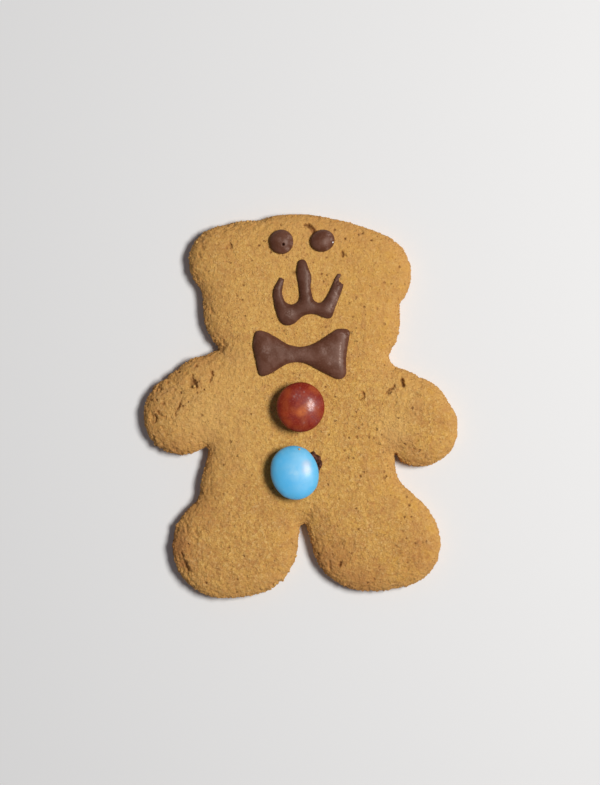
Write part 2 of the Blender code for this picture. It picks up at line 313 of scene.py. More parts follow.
# %% List of marks
# (points along it), half width, depth
GOUGES = [
    ([(1.2, 54.4), (2.6, 54.2)], 0.6, 1.0),
    ([(2.4, 54.2), (3.2, 53.4), (3.9, 52.3)], 1.0, 1.2),
    ([(-23.3, 19.4), (-22.7, 18.4)], 0.9, 0.4),
    ([(-24.3, 17.2), (-23.6, 16.3), (-23.2, 17.6)], 0.9, 0.5),
    ([(-32.5, 9.4), (-32.3, 8.3)], 0.5, 0.6),
    ([(-32.4, 8.4), (-32.0, 7.3)], 0.7, 0.9),
    ([(-32.1, 7.6), (-31.7, 6.7)], 1.1, 1.2),
    ([(-31.7, 6.7), (-31.2, 5.6)], 0.6, 1.0),
    ([(-32.2, 6.9), (-32.7, 6.2), (-33.0, 5.6)], 0.5, 0.6),
    ([(-32.8, 8.0), (-32.7, 6.0)], 1.6, 0.5),
    ([(-26.7, 10.2), (-26.5, 9.3)], 0.65, 0.8),
    ([(-26.5, 9.3), (-26.8, 8.4), (-27.3, 7.3)], 0.4, 0.55),
    ([(-35.6, 2.4), (-35.8, 1.7)], 0.4, 0.35),
    ([(-35.7, 1.8), (-36.2, 0.9)], 0.35, 0.4),
    ([(-36.2, 0.9), (-36.4, -0.1), (-37.0, -0.9)], 0.52, 0.8),
    ([(-37.0, -0.9), (-37.5, -1.7), (-37.6, -2.9)], 0.36, 0.45),
    ([(-44.5, -3.1), (-44.5, -4.5)], 1.2, 0.6),
    ([(-43.8, -2.6), (-43.3, -3.6), (-43.7, -4.9)], 0.5, 0.8),
    ([(-43.0, -1.6), (-42.3, -2.5)], 0.5, 0.6),
    ([(-42.3, -2.5), (-41.3, -3.1), (-40.3, -3.3)], 0.36, 0.4),
    ([(30.4, 8.0), (30.6, 7.0), (30.8, 6.0)], 0.75, 1.2),
    ([(28.1, 6.1), (27.6, 5.3)], 0.46, 0.8),
    ([(27.6, 5.3), (26.3, 4.8), (25.5, 3.7)], 0.45, 0.7),
    ([(18.6, 4.3), (19.1, 3.4), (18.9, 2.5), (18.0, 1.9)], 0.45, 0.75),
    ([(34.2, 3.9), (35.6, 3.3)], 0.6, 0.3),
    ([(-35.8, -44.0), (-35.3, -45.7), (-34.6, -47.2)], 0.5, 0.6),
    ([(-34.7, -47.0), (-34.2, -48.2), (-33.7, -49.3)], 1.0, 1.0),
    ([(-36.2, -45.0), (-35.7, -46.5), (-34.9, -48.1), (-34.4, -49.6)], 1.4, 0.35),
    ([(-31.6, -37.6), (-30.6, -39.4)], 0.8, 0.3),
    ([(-34.5, -35.5), (-33.8, -38.0)], 0.7, 0.3),
    ([(-29.6, 48.0), (-29.3, 47.0)], 0.8, 0.35),
    ([(-30.6, 45.6), (-30.2, 44.8)], 0.6, 0.35),
    ([(-31.8, 39.9), (-31.3, 38.8)], 0.7, 0.3),
    ([(-26.9, 29.3), (-26.6, 28.2)], 0.9, 0.3),
    ([(12.4, 46.3), (12.7, 45.5), (12.6, 44.9)], 0.55, 0.85),
    ([(12.7, 45.5), (13.5, 45.1)], 0.36, 0.4),
    ([(-21.3, 48.9), (-20.8, 48.3), (-20.8, 47.6)], 0.5, 0.6),
    ([(-22.3, 48.0), (-22.2, 47.2)], 0.5, 0.35),
    ([(8.6, -47.0), (8.9, -48.6)], 0.6, 0.35),
    ([(12.1, -47.0), (11.7, -47.9)], 0.7, 0.9),
    ([(28.3, -41.8), (29.9, -42.6)], 0.5, 0.3),
    ([(2.9, -31.4), (2.9, -33.4)], 0.7, 0.35),
    ([(-42.9, 5.9), (-42.0, 5.0)], 0.5, 0.45),
]

# x, y, radius, depth
HOLES = [
    (26.4, 3.9, 0.45, 0.3), (17.4, -6.6, 0.5, 0.35), (16.8, -9.2, 0.6, 0.6), (14.5, -9.5, 0.45, 0.35),
    (20.5, -9.4, 0.5, 0.35), (21.8, -9.6, 0.45, 0.3), (24.2, -8.6, 0.45, 0.3), (13.2, -13.3, 0.5, 0.35),
    (15.8, -15.5, 0.5, 0.4), (14.3, -15.4, 0.5, 0.35), (15.5, -3.1, 0.4, 0.25), (28.8, 1.2, 0.5, 0.15),
    (18.4, -5.4, 0.4, 0.25), (33.8, -12.6, 0.7, 0.25), (34.9, -10.3, 0.6, 0.25), (29.4, -3.6, 0.5, 0.25),
    (-35.3, 0.1, 0.5, 0.4), (-41.3, 0.7, 0.8, 0.5), (-44.9, 1.9, 0.55, 0.4), (-43.2, 1.8, 0.5, 0.35),
    (-39.8, 7.1, 0.6, 0.35), (-32.7, -8.4, 0.7, 0.4), (-29.0, 5.0, 0.5, 0.35), (-31.0, 4.1, 0.5, 0.35),
    (-31.4, 12.0, 0.7, 0.5), (-34.3, 9.8, 0.65, 0.4), (-37.7, 5.0, 0.6, 0.4), (-36.5, 10.2, 0.5, 0.5),
    (-23.5, 12.7, 0.8, 0.35), (-20.6, 4.6, 0.45, 0.3), (26.0, -18.0, 0.45, 0.25), (31.9, -27.2, 0.5, 0.35),
    (-21.4, 47.9, 1.25, 0.6), (7.8, 44.6, 0.45, 0.3), (15.7, 26.8, 0.5, 0.3), (7.8, 39.3, 0.5, 0.35),
    (-17.2, 36.3, 0.5, 0.35), (-17.5, 31.8, 0.5, 0.35), (-12.5, 48.2, 0.55, 0.35), (-14.7, 43.6, 0.45, 0.3),
    (-6.0, 54.5, 0.5, 0.35), (10.2, 53.0, 0.5, 0.35), (13.3, 50.2, 0.55, 0.4), (17.4, 51.5, 0.5, 0.35),
    (18.6, 51.8, 0.45, 0.35), (21.2, 49.8, 0.55, 0.4), (1.1, 47.4, 0.4, 0.2), (-9.0, 46.1, 0.5, 0.3),
    (-11.1, 49.6, 0.5, 0.3), (3.8, 43.0, 0.45, 0.3), (6.8, 37.4, 0.45, 0.35), (6.3, 39.7, 0.5, 0.35),
    (19.0, 29.8, 0.5, 0.35), (29.6, 41.8, 0.5, 0.35), (-5.1, 22.6, 0.5, 0.3), (7.4, 23.8, 0.5, 0.35),
    (-1.5, 40.2, 0.6, 0.25), (3.3, 35.2, 0.4, 0.25), (7.4, 5.8, 0.5, 0.35), (17.9, -21.0, 0.5, 0.35),
    (25.6, -21.0, 0.5, 0.35), (32.6, -29.8, 0.5, 0.4), (31.2, -33.2, 0.5, 0.35), (33.2, -33.2, 0.5, 0.35),
    (34.4, -41.1, 0.5, 0.35), (15.2, -44.2, 0.5, 0.35), (11.7, -47.6, 0.5, 0.35), (20.2, -52.9, 0.5, 0.35),
    (-7.8, -46.3, 0.5, 0.35), (-19.0, -51.9, 0.5, 0.35), (-28.3, -53.1, 0.5, 0.35),
    (2.6, -32.7, 0.7, 0.25), (12.4, -41.8, 0.7, 0.25), (-21.6, -42.4, 0.5, 0.3),
    (11.0, -36.0, 0.45, 0.3), (17.2, -36.9, 0.45, 0.3), (11.5, -27.8, 0.4, 0.25), (9.6, -44.5, 0.45, 0.3),
    (31.7, -39.7, 0.5, 0.3), (32.0, -46.9, 0.45, 0.3), (22.2, -51.9, 0.45, 0.3), (5.3, -44.3, 0.5, 0.35),
]

# Small lumps that stand up: x, y, radius, height
BUMPS = [(24.0, -11.1, 0.9, 0.5), (-45.9, -3.9, 0.9, 0.25), (17.5, 54.3, 0.8, 0.3), (-32.0, 5.8, 0.5, 0.5),
         (18.1, 3.1, 0.8, 0.35), (-33.2, -46.4, 0.9, 0.25), (-34.3, -44.3, 0.9, 0.25)]
PIN = 0.58  # a hole narrower than this is a pin hole
# The next two and the clean marks set painted shade on mark floors: a pin hole is painted darker than its depth, a
# gouge only along the middle of its width, and the clean marks get none.
PIN_DARK = 3.0
DARK_PART = 0.75  # of a gouge's half width
CLEAN_MARKS = [(-44.8, -3.8, 1.7, 1.0), (-33.2, 7.2, 1.2, 0.5), (-32.0, 5.8, 0.5, 1.0), (-21.5, 47.6, 0.8, 1.0), (3.7, 52.7, 1.5, 0.6)]
NICKS = 1700  # short torn pores all over
NICK_BEADS = (1, 3)  # each is a row of this many small bowls
NICK_STEP = 0.32
NICK_RADIUS = (0.3, 0.55)
NICK_DEPTH = (0.05, 0.24)

print(len(GOUGES), "gouges,", len(HOLES), "holes,", len(BUMPS), "bumps and", NICKS, "nicks")

# %% [markdown]
# ## Carving the marks
# A mark's depth falls off smoothly from its middle line to its half width. A slow wobble of the points that
# are measured makes every edge ragged, as crumb tears. The faces near the named marks are divided once more,
# because a dent needs several points across. The weights then drive a Displace modifier straight down.

# %% Measure and carve
DEEPEST = 1.2 * MM


def wobbled(points):
    """The points' x and y, shifted a little to and fro."""
    x, y = points[:, 0], points[:, 1]
    shift_x = 0.07 * np.sin(3.1 * x + 5.3 * y) + 0.04 * np.sin(-7.9 * x + 4.7 * y + 1)
    shift_y = 0.07 * np.sin(4.3 * x - 3.7 * y + 2) + 0.04 * np.sin(6.1 * x + 8.3 * y)
    return np.stack([x + shift_x, y + shift_y], 1)


def bowl(distance, half_width):
    """1 at the middle of a mark and 0 from its half width on."""
    t = np.clip(distance / half_width, 0, 1)
    return (1 - t * t) ** 2


def patches_of(points, places):
    """Soft round patches, from a list of x, y, radius, strength."""
    value = np.zeros(len(points))
    for x, y, radius, strength in places:
        value = np.maximum(value, strength * bowl(np.hypot(points[:, 0] - x, points[:, 1] - y), radius))
    return value


def near_stroke(spots, stroke):
    """How far each spot is from a stroke."""
    best = np.full(len(spots), np.inf)
    for a, b in zip(stroke, stroke[1:]):
        a, along = np.array(a), np.array(b) - np.array(a)
        t = np.clip((spots - a) @ along / (along @ along), 0, 1)
        best = np.minimum(best, np.hypot(*(spots - a - t[:, None] * along).T))
    return best


def strokes_of(points, strokes):
    """Soft strokes, from a list of the points along each, its half width and its strength."""
    value = np.zeros(len(points))
    for stroke, half_width, strength in strokes:
        value = np.maximum(value, strength * bowl(near_stroke(points[:, :2], stroke), half_width))
    return value


def named_marks(points):
    """How deep the gouges and the holes are at each point, in mm."""
    spots = wobbled(points)
    return strokes_of(spots, GOUGES), patches_of(spots, HOLES)


def named_painted_shade(points):
    """Painted shade for their floors. A gouge is darkest along its middle, and a pin hole is painted darker than it
    is deep.
    """
    spots = wobbled(points)
    middles = [(stroke, DARK_PART * half_width, deep) for stroke, half_width, deep in GOUGES]
    holes = [(x, y, radius, deep * (PIN_DARK if radius < PIN else 1)) for x, y, radius, deep in HOLES]
    return np.maximum(strokes_of(spots, middles), patches_of(spots, holes))


def nicks(points, seed):
    """How deep the many small nicks are at each point, in mm."""
    draw = random.Random(seed)
    beads = []
    for _ in range(NICKS):
        x, y = draw.uniform(-48, 48), draw.uniform(-58, 58)
        way = draw.uniform(0, math.pi)
        radius, deep = draw.uniform(*NICK_RADIUS), draw.uniform(*NICK_DEPTH)
        for step in range(draw.randint(*NICK_BEADS)):
            beads.append((x + NICK_STEP * step * math.cos(way), y + NICK_STEP * step * math.sin(way), radius, deep))
            way += draw.uniform(-0.5, 0.5)
    tree = kdtree.KDTree(len(beads))
    for i, (x, y, _, _) in enumerate(beads):
        tree.insert((x, y, 0), i)
    tree.balance()
    depth = np.zeros(len(points))
    for at, (x, y) in enumerate(wobbled(points)):
        _, i, distance = tree.find((x, y, 0))
        _, _, radius, deep = beads[i]
        if distance < radius:
            depth[at] = deep * (1 - (distance / radius) ** 2) ** 2
    return depth


def nudge(piece, name, places, far, direction="NORMAL"):
    """Pushes patches of the skin out by up to this far, or in when it is negative."""
    paint(piece, name, patches_of(points_of(piece), places))
    modify(piece, "DISPLACE", strength=far, mid_level=0, vertex_group=name, direction=direction)


def select_faces(piece, chosen):
    """Selects the faces whose points are all chosen, and goes to edit mode."""
    only(piece)
    bpy.ops.object.mode_set(mode="EDIT")
    bpy.ops.mesh.select_mode(type="FACE")
    bpy.ops.mesh.select_all(action="DESELECT")
    bpy.ops.object.mode_set(mode="OBJECT")
    flags = [all(chosen[v] for v in polygon.vertices) for polygon in piece.data.polygons]
    piece.data.polygons.foreach_set("select", flags)
    bpy.ops.object.mode_set(mode="EDIT")


MARGIN = 0.25
CUT_EDGE = 3.5  # the top's skin is above this height, mm
above = points_of(dough)[:, 2] > CUT_EDGE
close = np.zeros(len(above), bool)
spots = points_of(dough)[:, :2]
for stroke, half_width, _ in GOUGES:
    close |= near_stroke(spots, stroke) < half_width + MARGIN
for x, y, radius, _ in HOLES:
    close |= np.hypot(spots[:, 0] - x, spots[:, 1] - y) < radius + MARGIN
select_faces(dough, close & above)
bpy.ops.mesh.subdivide(number_cuts=1, smoothness=0)
bpy.ops.object.mode_set(mode="OBJECT")

print("dough skin", triangles(dough), "triangles")

# %% [markdown]
# ## The uneven skin
# Rolled dough is never quite flat: it swells a few tenths of a millimetre in broad patches, its skin is
# covered in fine crumb, and its cut side is torn and lumpy. Each is a Displace modifier with a cloudy texture
# of its own size, held to its place by a painted weight. The edge is roughest, so its weight grows towards it.

# %% Roughen
# Stretches of the edge that tore more: x, y, radius, strength
TORN_EDGES = [(-20, 55, 7, 1.0), (-30, 51, 5, 0.8), (-8, -52, 8, 1.0), (4, -48, 7, 1.0), (10, -56, 5, 0.8),
              (-43, -14, 8, 0.8), (-33, -20, 5, 0.7), (18, 53, 4, 0.8), (27, 24, 4, 0.7), (46, -6, 5, 0.5),
              (33, 11, 4, 0.7), (-42, 6, 9, 1.0), (29, -22, 5, 0.5), (42, -30, 6, 0.5),
              (-37, -38, 9, 1.0), (-32, 43, 6, 0.6), (-29, 28, 6, 0.7)]
TEETH = [(-8, -51, 9, 1.0), (-4, -45, 5, 0.6), (-43, 9, 8, 0.8), (-36, 16, 6, 0.7), (-43, -13, 7, 0.9),
         (-36, -17, 6, 0.8), (-47, 0, 6, 0.5), (-36, -52, 8, 0.5), (-27, 26, 6, 0.5), (-25, -25, 6, 0.5),
         (-20, 55, 7, 0.5), (-30, 51, 5, 0.4), (40, -30, 7, 0.4), (6, -50, 7, 0.6), (16, 55, 4, 0.4),
         (43, -38, 8, 0.4), (30, -54, 8, 0.3), (27, 26, 6, 0.4), (32, 44, 7, 0.4), (44, -6, 8, 0.4)]

from_edge = edge_distance(dough)
points, facing = points_of(dough), normals_of(dough)[:, 2]
upper = ease(-0.2, 0.3, facing)
torn = patches_of(points, TORN_EDGES)
rim = (1 - ease(0.4, 3.6, from_edge)) * (0.65 + 0.35 * torn)
off_table = ease(0.2, 1.2, points[:, 2])
paint(dough, "top", upper * ease(5.5, 7.0, points[:, 2]))
paint(dough, "rim", rim * off_table)
x, y = points[:, 0], points[:, 1]
left_arm = np.exp(-(np.hypot(x + 40, y - 2) / 12) ** 2)
right_arm = np.exp(-(np.hypot(x - 32, y + 4) / 14) ** 2)
# Painted light: where the dome faces the light, the stains below paint the dough paler and more golden and brown it
# less.
facing_light = ease(0, 0.35, normals_of(dough)[:, 0])  # where the dome faces the right
calm = ease(14, 30, y)  # the head baked smoothest
feet = ease(18, 46, -y)
left_foot = np.exp(-(np.hypot(x + 34, y + 41) / 9) ** 2)
paint(dough, "rolling", off_table * (0.7 - 0.3 * calm + 0.3 * left_arm))
paint(dough, "skin", off_table * (0.65 + 0.35 * left_arm + 0.1 * right_arm + 0.1 * feet + 0.1 * left_foot - 0.05 * calm))

gouged, holed = named_marks(points)
nicked = nicks(points, seed=11) * (1 - 0.6 * calm * ease(-25, 10, x) + 0.5 * (feet + left_foot) + 0.3 * left_arm)
depth = np.maximum(np.maximum(gouged, holed), nicked) * upper
# Painted shade on the floors of marks and nicks, darker than the dents alone look; the clean marks are left out.
dark = np.maximum(nicked, named_painted_shade(points)) * upper * (1 - patches_of(points, CLEAN_MARKS))
paint(dough, "marks", depth * MM / DEEPEST)
paint(dough, "bumps", patches_of(points, BUMPS) * MM / DEEPEST * upper)

roughen(dough, lumps("swell", 14 * MM), 0.7 * MM, group="top", direction="Z")
roughen(dough, lumps("cut_side", 2.4 * MM), 1.0 * MM, group="rim")
roughen(dough, lumps("side_crumb", 0.9 * MM, depth=3), 1.3 * MM, group="rim")
paint(dough, "teeth", patches_of(points, TEETH) * (1 - ease(0.4, 1.6, from_edge)) * off_table)
roughen(dough, lumps("torn_teeth", 1.5 * MM, depth=1), 2.4 * MM, middle=0.45, group="teeth")
roughen(dough, lumps("rolling_crumb", 2.6 * MM, depth=1), 0.75 * MM, group="rolling")
roughen(dough, lumps("skin_crumb", 0.95 * MM, depth=3), 0.82 * MM, group="skin")
modify(dough, "DISPLACE", strength=-DEEPEST, mid_level=0, vertex_group="marks", direction="Z")
modify(dough, "DISPLACE", strength=DEEPEST, mid_level=0, vertex_group="bumps", direction="Z")
print("deepest mark", round(float(depth.max()), 2), "mm")

# %% [markdown]
# ## Keeping to size
# Lumps at the very ends of the paws and feet could make the cookie larger than it is, so points past the
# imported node's box are brought back to it.

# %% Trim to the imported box


def keep_inside(piece, node):
    """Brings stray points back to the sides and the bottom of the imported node's box."""
    low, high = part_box(node)
    points = points_of(piece) * MM
    kept = np.clip(points, np.array(low), np.array((high.x, high.y, cad_high.z)))
    moved = int((np.abs(kept - points).max(1) > 0).sum())
    piece.data.vertices.foreach_set("co", kept.astype(np.float32).ravel())
    piece.data.update()
    return moved


print(keep_inside(dough, "cookie"), "points brought back")

# %% [markdown]
# ## Stains for the oven
# What the material needs to know about the shape is kept at each point: how much painted shade and syrup its mark
# floor gets, and how much the oven browned it. Edges, paws and feet brown first, because heat reaches them from
# more sides, and the bottom edge browns on the tray. Where the dome faces the light it is painted paler and more
# golden, and elsewhere the crust and browning stay full, as painted light and shade.

# %% Stain
# Where icing or syrup smeared the dough, and painted shade: the shadow left of the nose and the floors of several
# gouges and holes. x, y, radius, strength
SMEARS_AND_SHADE = [(-1.9, 40.1, 1.1, 0.7), (15.1, 22.0, 0.9, 0.6), (5.9, -14.3, 0.8, 0.5), (2.5, 54.0, 0.9, 0.8),
          (6.6, 21.8, 0.7, 0.35), (34.9, 3.6, 1.2, 0.3), (-31.9, 6.8, 1.8, 0.35), (12.6, 45.6, 1.1, 0.4),
          (12.2, -41.0, 1.1, 0.35), (2.6, -32.5, 1.0, 0.4), (11.9, 38.2, 0.9, 0.4)]

# Where the heat was less and where it was more: x, y, radius, strength. The small patches of the second list, in the
# dimple on the head and in gouges, paint shade into their floors.
PALER = [(-24, 4, 22, 0.5), (-24, -10, 18, 0.5), (27, 13, 14, 0.25), (-18, 30, 20, 0.2), (-35, 1, 14, 0.6),
         (0, 58, 24, 0.4), (-29, -4, 15, 0.9), (28, -6, 10, 0.9), (-20, 14, 9, 0.6), (31, 4, 12, 0.5)]
BROWNER_AND_SHADE = [(9, -47, 14, 0.5), (-38, -42, 9, 0.7), (-30, -30, 12, 0.3), (18, -54, 14, 0.45), (35, -44, 10, 0.4),
           (-31, -18, 7, 0.4), (8, -38, 9, 0.2), (-22.2, 47.4, 0.8, 0.8), (-20.8, 47.2, 0.7, 0.6),
           (-35.6, -47.4, 1.9, 0.8), (3.7, 52.7, 1.7, 0.8), (-38, -13, 9, 0.3), (-29, 15, 6, 0.3)]

tray = 1 - ease(0.2, 1.0, points[:, 2])
# Painted light and shade: crust and browning are weaker where the dome faces the light, golden and paler are
# stronger there.
crust_and_shade = (0.12 * np.exp(-from_edge / 2.0) + 0.3 * np.exp(-from_edge / 7)) * (1 - 0.15 * facing_light) + 0.12 * left_arm
crust_and_shade += 0.14 * calm * ease(-25, 10, x)
browning_and_shade = 0.12 * np.exp(-from_edge / 8) * (1 - 0.4 * facing_light) + 0.45 * tray
golden = 0.12 + x / 110 + 0.45 * np.exp(-from_edge / 6) + 0.3 * left_arm + 0.2 * facing_light
paler = 0.8 * np.exp(-from_edge / 0.8) + 0.25 * facing_light * np.exp(-from_edge / 3)
paler = np.maximum(paler, patches_of(points, PALER))
browning_and_shade = np.maximum(browning_and_shade, patches_of(points, BROWNER_AND_SHADE))
stain(dough, "crust_and_shade", np.clip(crust_and_shade, 0, 1))
stain(dough, "browning_and_shade", np.clip(browning_and_shade, 0, 1))
stain(dough, "golden", np.clip(golden, 0, 1))
coarse = 1.2 - 0.2 * calm * ease(-25, 10, x) + 0.65 * left_arm + 0.45 * right_arm + 0.15 * feet + 0.1 * left_foot
stain(dough, "coarse", coarse)
stain(dough, "paler", np.clip(paler, 0, 1))
stain(dough, "smear_and_shade", patches_of(points, SMEARS_AND_SHADE))
stain(dough, "mark_shade_and_syrup", dark)
print("mean browning", round(float(browning_and_shade.mean()), 2))

# %% [markdown]
# ## Helpers for materials
# A material is a small web of nodes. The helper adds one node, sets its fields, and gives each of its inputs a
# number, a colour or a link, so that a web reads from top to bottom like a recipe.

# %% Helpers for nodes


def node(tree, kind, inputs=None, **fields):
    """Adds a node. Inputs are given by name or place, as values or as sockets to link."""
    made = tree.nodes.new(kind)
    for name, value in fields.items():
        setattr(made, name, value)
    for name, value in (inputs or {}).items():
        if isinstance(value, bpy.types.NodeSocket):
            tree.links.new(value, made.inputs[name])
        else:
            made.inputs[name].default_value = value
    return made


def noise(tree, where, size, detail=2.0, roughness=0.5, distortion=0.0):
    """A noise whose lumps are about this many metres across."""
    inputs = {"Vector": where, "Scale": 1 / size, "Detail": detail, "Roughness": roughness, "Distortion": distortion}
    return node(tree, "ShaderNodeTexNoise", inputs).outputs[0]


def stretch(tree, value, low, high, to_low=0.0, to_high=1.0, smooth=False):
    """Maps values between low and high to another range, and holds them there."""
    inputs = {"Value": value, "From Min": low, "From Max": high, "To Min": to_low, "To Max": to_high}
    kind = "SMOOTHSTEP" if smooth else "LINEAR"
    return node(tree, "ShaderNodeMapRange", inputs, interpolation_type=kind).outputs[0]


def math_node(tree, operation, a, b=0.0, clamp=False):
    return node(tree, "ShaderNodeMath", {0: a, 1: b}, operation=operation, use_clamp=clamp).outputs[0]


def mix_colours(tree, factor, a, b, blend="MIX"):
    """A blend of two colours, each given as three numbers or a socket."""
    a, b = ((*c, 1) if isinstance(c, tuple) else c for c in (a, b))
    made = node(tree, "ShaderNodeMix", {0: factor, 6: a, 7: b}, data_type="RGBA", blend_type=blend)
    return made.outputs[2]


def stain_value(tree, name):
    return node(tree, "ShaderNodeAttribute", attribute_name=name).outputs["Fac"]


def object_place(tree):
    return node(tree, "ShaderNodeTexCoord").outputs["Object"]


def finish(name, roughness, specular):
    """A new material with its tree and shader. Values that are the same all over sit on the shader."""
    made = bpy.data.materials.new(name)
    made.use_nodes = True
    shader = made.node_tree.nodes["Principled BSDF"]
    shader.inputs["Roughness"].default_value = roughness
    shader.inputs["Specular IOR Level"].default_value = specular
    return made, made.node_tree, shader


print("node helpers ready")

# %% [markdown]
# ## Crumb: one effect for dough and crumbs
# Baked dough is a fine mix of pale flour grains, browner sugar and dark specks of spice, with tiny hollows
# between. The same mix shows on the cookie and on every loose crumb, so it is one node group with its sizes as
# inputs. It gives a blotch value for the broad tone, a grain value for the fine one, a mask for the specks, and
# a height for the hollows.

# %% Group: crumb


def new_group(name, inputs, outputs):
    """A shader node group with named float or vector inputs and float outputs."""
    group = bpy.data.node_groups.new(name, "ShaderNodeTree")
    for socket, value in inputs.items():
        kind = "NodeSocketVector" if value is None else "NodeSocketFloat"
        made = group.interface.new_socket(socket, in_out="INPUT", socket_type=kind)
        if value is not None:
            made.default_value = value
    for socket in outputs:
        group.interface.new_socket(socket, in_out="OUTPUT", socket_type="NodeSocketFloat")
    return group, group.nodes.new("NodeGroupInput").outputs, group.nodes.new("NodeGroupOutput").inputs


WARP = 0.45 * MM  # how far the cells are pulled out of shape
crumb, given, result = new_group(
    "crumb",
    {"Place": None, "Blotch Scale": 120.0, "Grain Scale": 1100.0, "Speck Scale": 420.0},
    ["Blotch", "Grain", "Specks", "Height"],
)
place = given["Place"]
grain_scale = given["Grain Scale"]
blotch = node(crumb, "ShaderNodeTexNoise", {"Vector": place, "Scale": given["Blotch Scale"], "Detail": 5.0})
warp = node(crumb, "ShaderNodeTexNoise", {"Vector": place, "Scale": grain_scale, "Detail": 1.0})
pull = node(crumb, "ShaderNodeVectorMath", {0: warp.outputs["Color"], 1: (0.5, 0.5, 0.5)}, operation="SUBTRACT")
pull = node(crumb, "ShaderNodeVectorMath", {0: pull.outputs[0], "Scale": 2 * WARP}, operation="SCALE")
pulled = node(crumb, "ShaderNodeVectorMath", {0: place, 1: pull.outputs[0]}, operation="ADD").outputs[0]

maze = node(
    crumb,
    "ShaderNodeTexNoise",
    {"Vector": place, "Scale": grain_scale, "Detail": 3.0, "Roughness": 0.65, "Distortion": 1.1},
)
fine_scale = math_node(crumb, "MULTIPLY", grain_scale, 2.4)
sand = node(crumb, "ShaderNodeTexNoise", {"Vector": place, "Scale": fine_scale, "Detail": 1.0})
grain = math_node(crumb, "MULTIPLY", maze.outputs[0], 0.72)
grain = math_node(crumb, "ADD", grain, math_node(crumb, "MULTIPLY", sand.outputs[0], 0.28))
packed = node(crumb, "ShaderNodeTexVoronoi", {"Vector": pulled, "Scale": grain_scale}, feature="SMOOTH_F1")


def dots(scale, rarest, commonest, small, large):
    """Irregular dots, one in a few of the cells, each with its own size."""
    cells = node(crumb, "ShaderNodeTexVoronoi", {"Vector": pulled, "Scale": scale})
    own = node(crumb, "ShaderNodeSeparateColor", {0: cells.outputs["Color"]})
    chosen = stretch(crumb, own.outputs[0], rarest, commonest)
    reach = stretch(crumb, own.outputs[1], 0, 1, small, large)
    inside = math_node(crumb, "DIVIDE", cells.outputs["Distance"], reach)
    return math_node(crumb, "MULTIPLY", chosen, stretch(crumb, inside, 0.55, 1.0, 1.0, 0.0, smooth=True))


specks = dots(given["Speck Scale"], 0.70, 0.90, 0.12, 0.27)
pores = dots(math_node(crumb, "MULTIPLY", given["Speck Scale"], 2.2), 0.5, 0.9, 0.25, 0.5)
specks = math_node(crumb, "MAXIMUM", specks, math_node(crumb, "MULTIPLY", pores, 0.22))
height = math_node(crumb, "SUBTRACT", grain, math_node(crumb, "MULTIPLY", packed.outputs["Distance"], 0.5))
height = math_node(crumb, "SUBTRACT", height, math_node(crumb, "MULTIPLY", specks, 0.6))
crumb.links.new(blotch.outputs[0], result["Blotch"])
crumb.links.new(grain, result["Grain"])
crumb.links.new(specks, result["Specks"])
crumb.links.new(height, result["Height"])
print("crumb group has", len(crumb.nodes), "nodes")

# %% [markdown]
# ## Gingerbread
# Tan, yellower where it is pale and redder brown where it is dark. The broad blotches, the fine grain and the
# specks come from the crumb group. The hollows of the grain are browned as painted shade. The stains then brown the
# edge, and paint shade and syrup into the floors of the marks. It is nearly matt: flour scatters light, and only a
# trace of butter shines.

# %% Material: gingerbread
PALE = (0.750, 0.446, 0.110)
TAN = (0.572, 0.300, 0.075)
GOLD = (0.699, 0.386, 0.056)
RUSSET = (0.53, 0.242, 0.080)
CRUST = (0.56, 0.270, 0.080)
FLOUR = (0.85, 0.60, 0.285)
BROWN = (0.42, 0.165, 0.052)
DARK_BROWN = (0.24, 0.080, 0.024)
# The next brown is painted shade on the floors of shallow marks.
DENT_SHADE_BROWN = (0.36, 0.165, 0.048)
SHADE = (0.52, 0.265, 0.080)
# Painted shade and syrup: the dark brown of deep mark floors, also used for smears and the shadow beside the nose.
SHADE_AND_SYRUP_BROWN = (0.130, 0.047, 0.010)

gingerbread, tree, shader = finish("gingerbread", 0.9, 0.2)
place = object_place(tree)


def crumb_in(tree, place, blotch_size, grain_size, speck_size):
    made = node(tree, "ShaderNodeGroup", node_tree=crumb)
    tree.links.new(place, made.inputs["Place"])
    made.inputs["Blotch Scale"].default_value = 1 / blotch_size
    made.inputs["Grain Scale"].default_value = 1 / grain_size
    made.inputs["Speck Scale"].default_value = 1 / speck_size
    return made.outputs


def share(tree, value, amount):
    return math_node(tree, "MULTIPLY", value, amount)


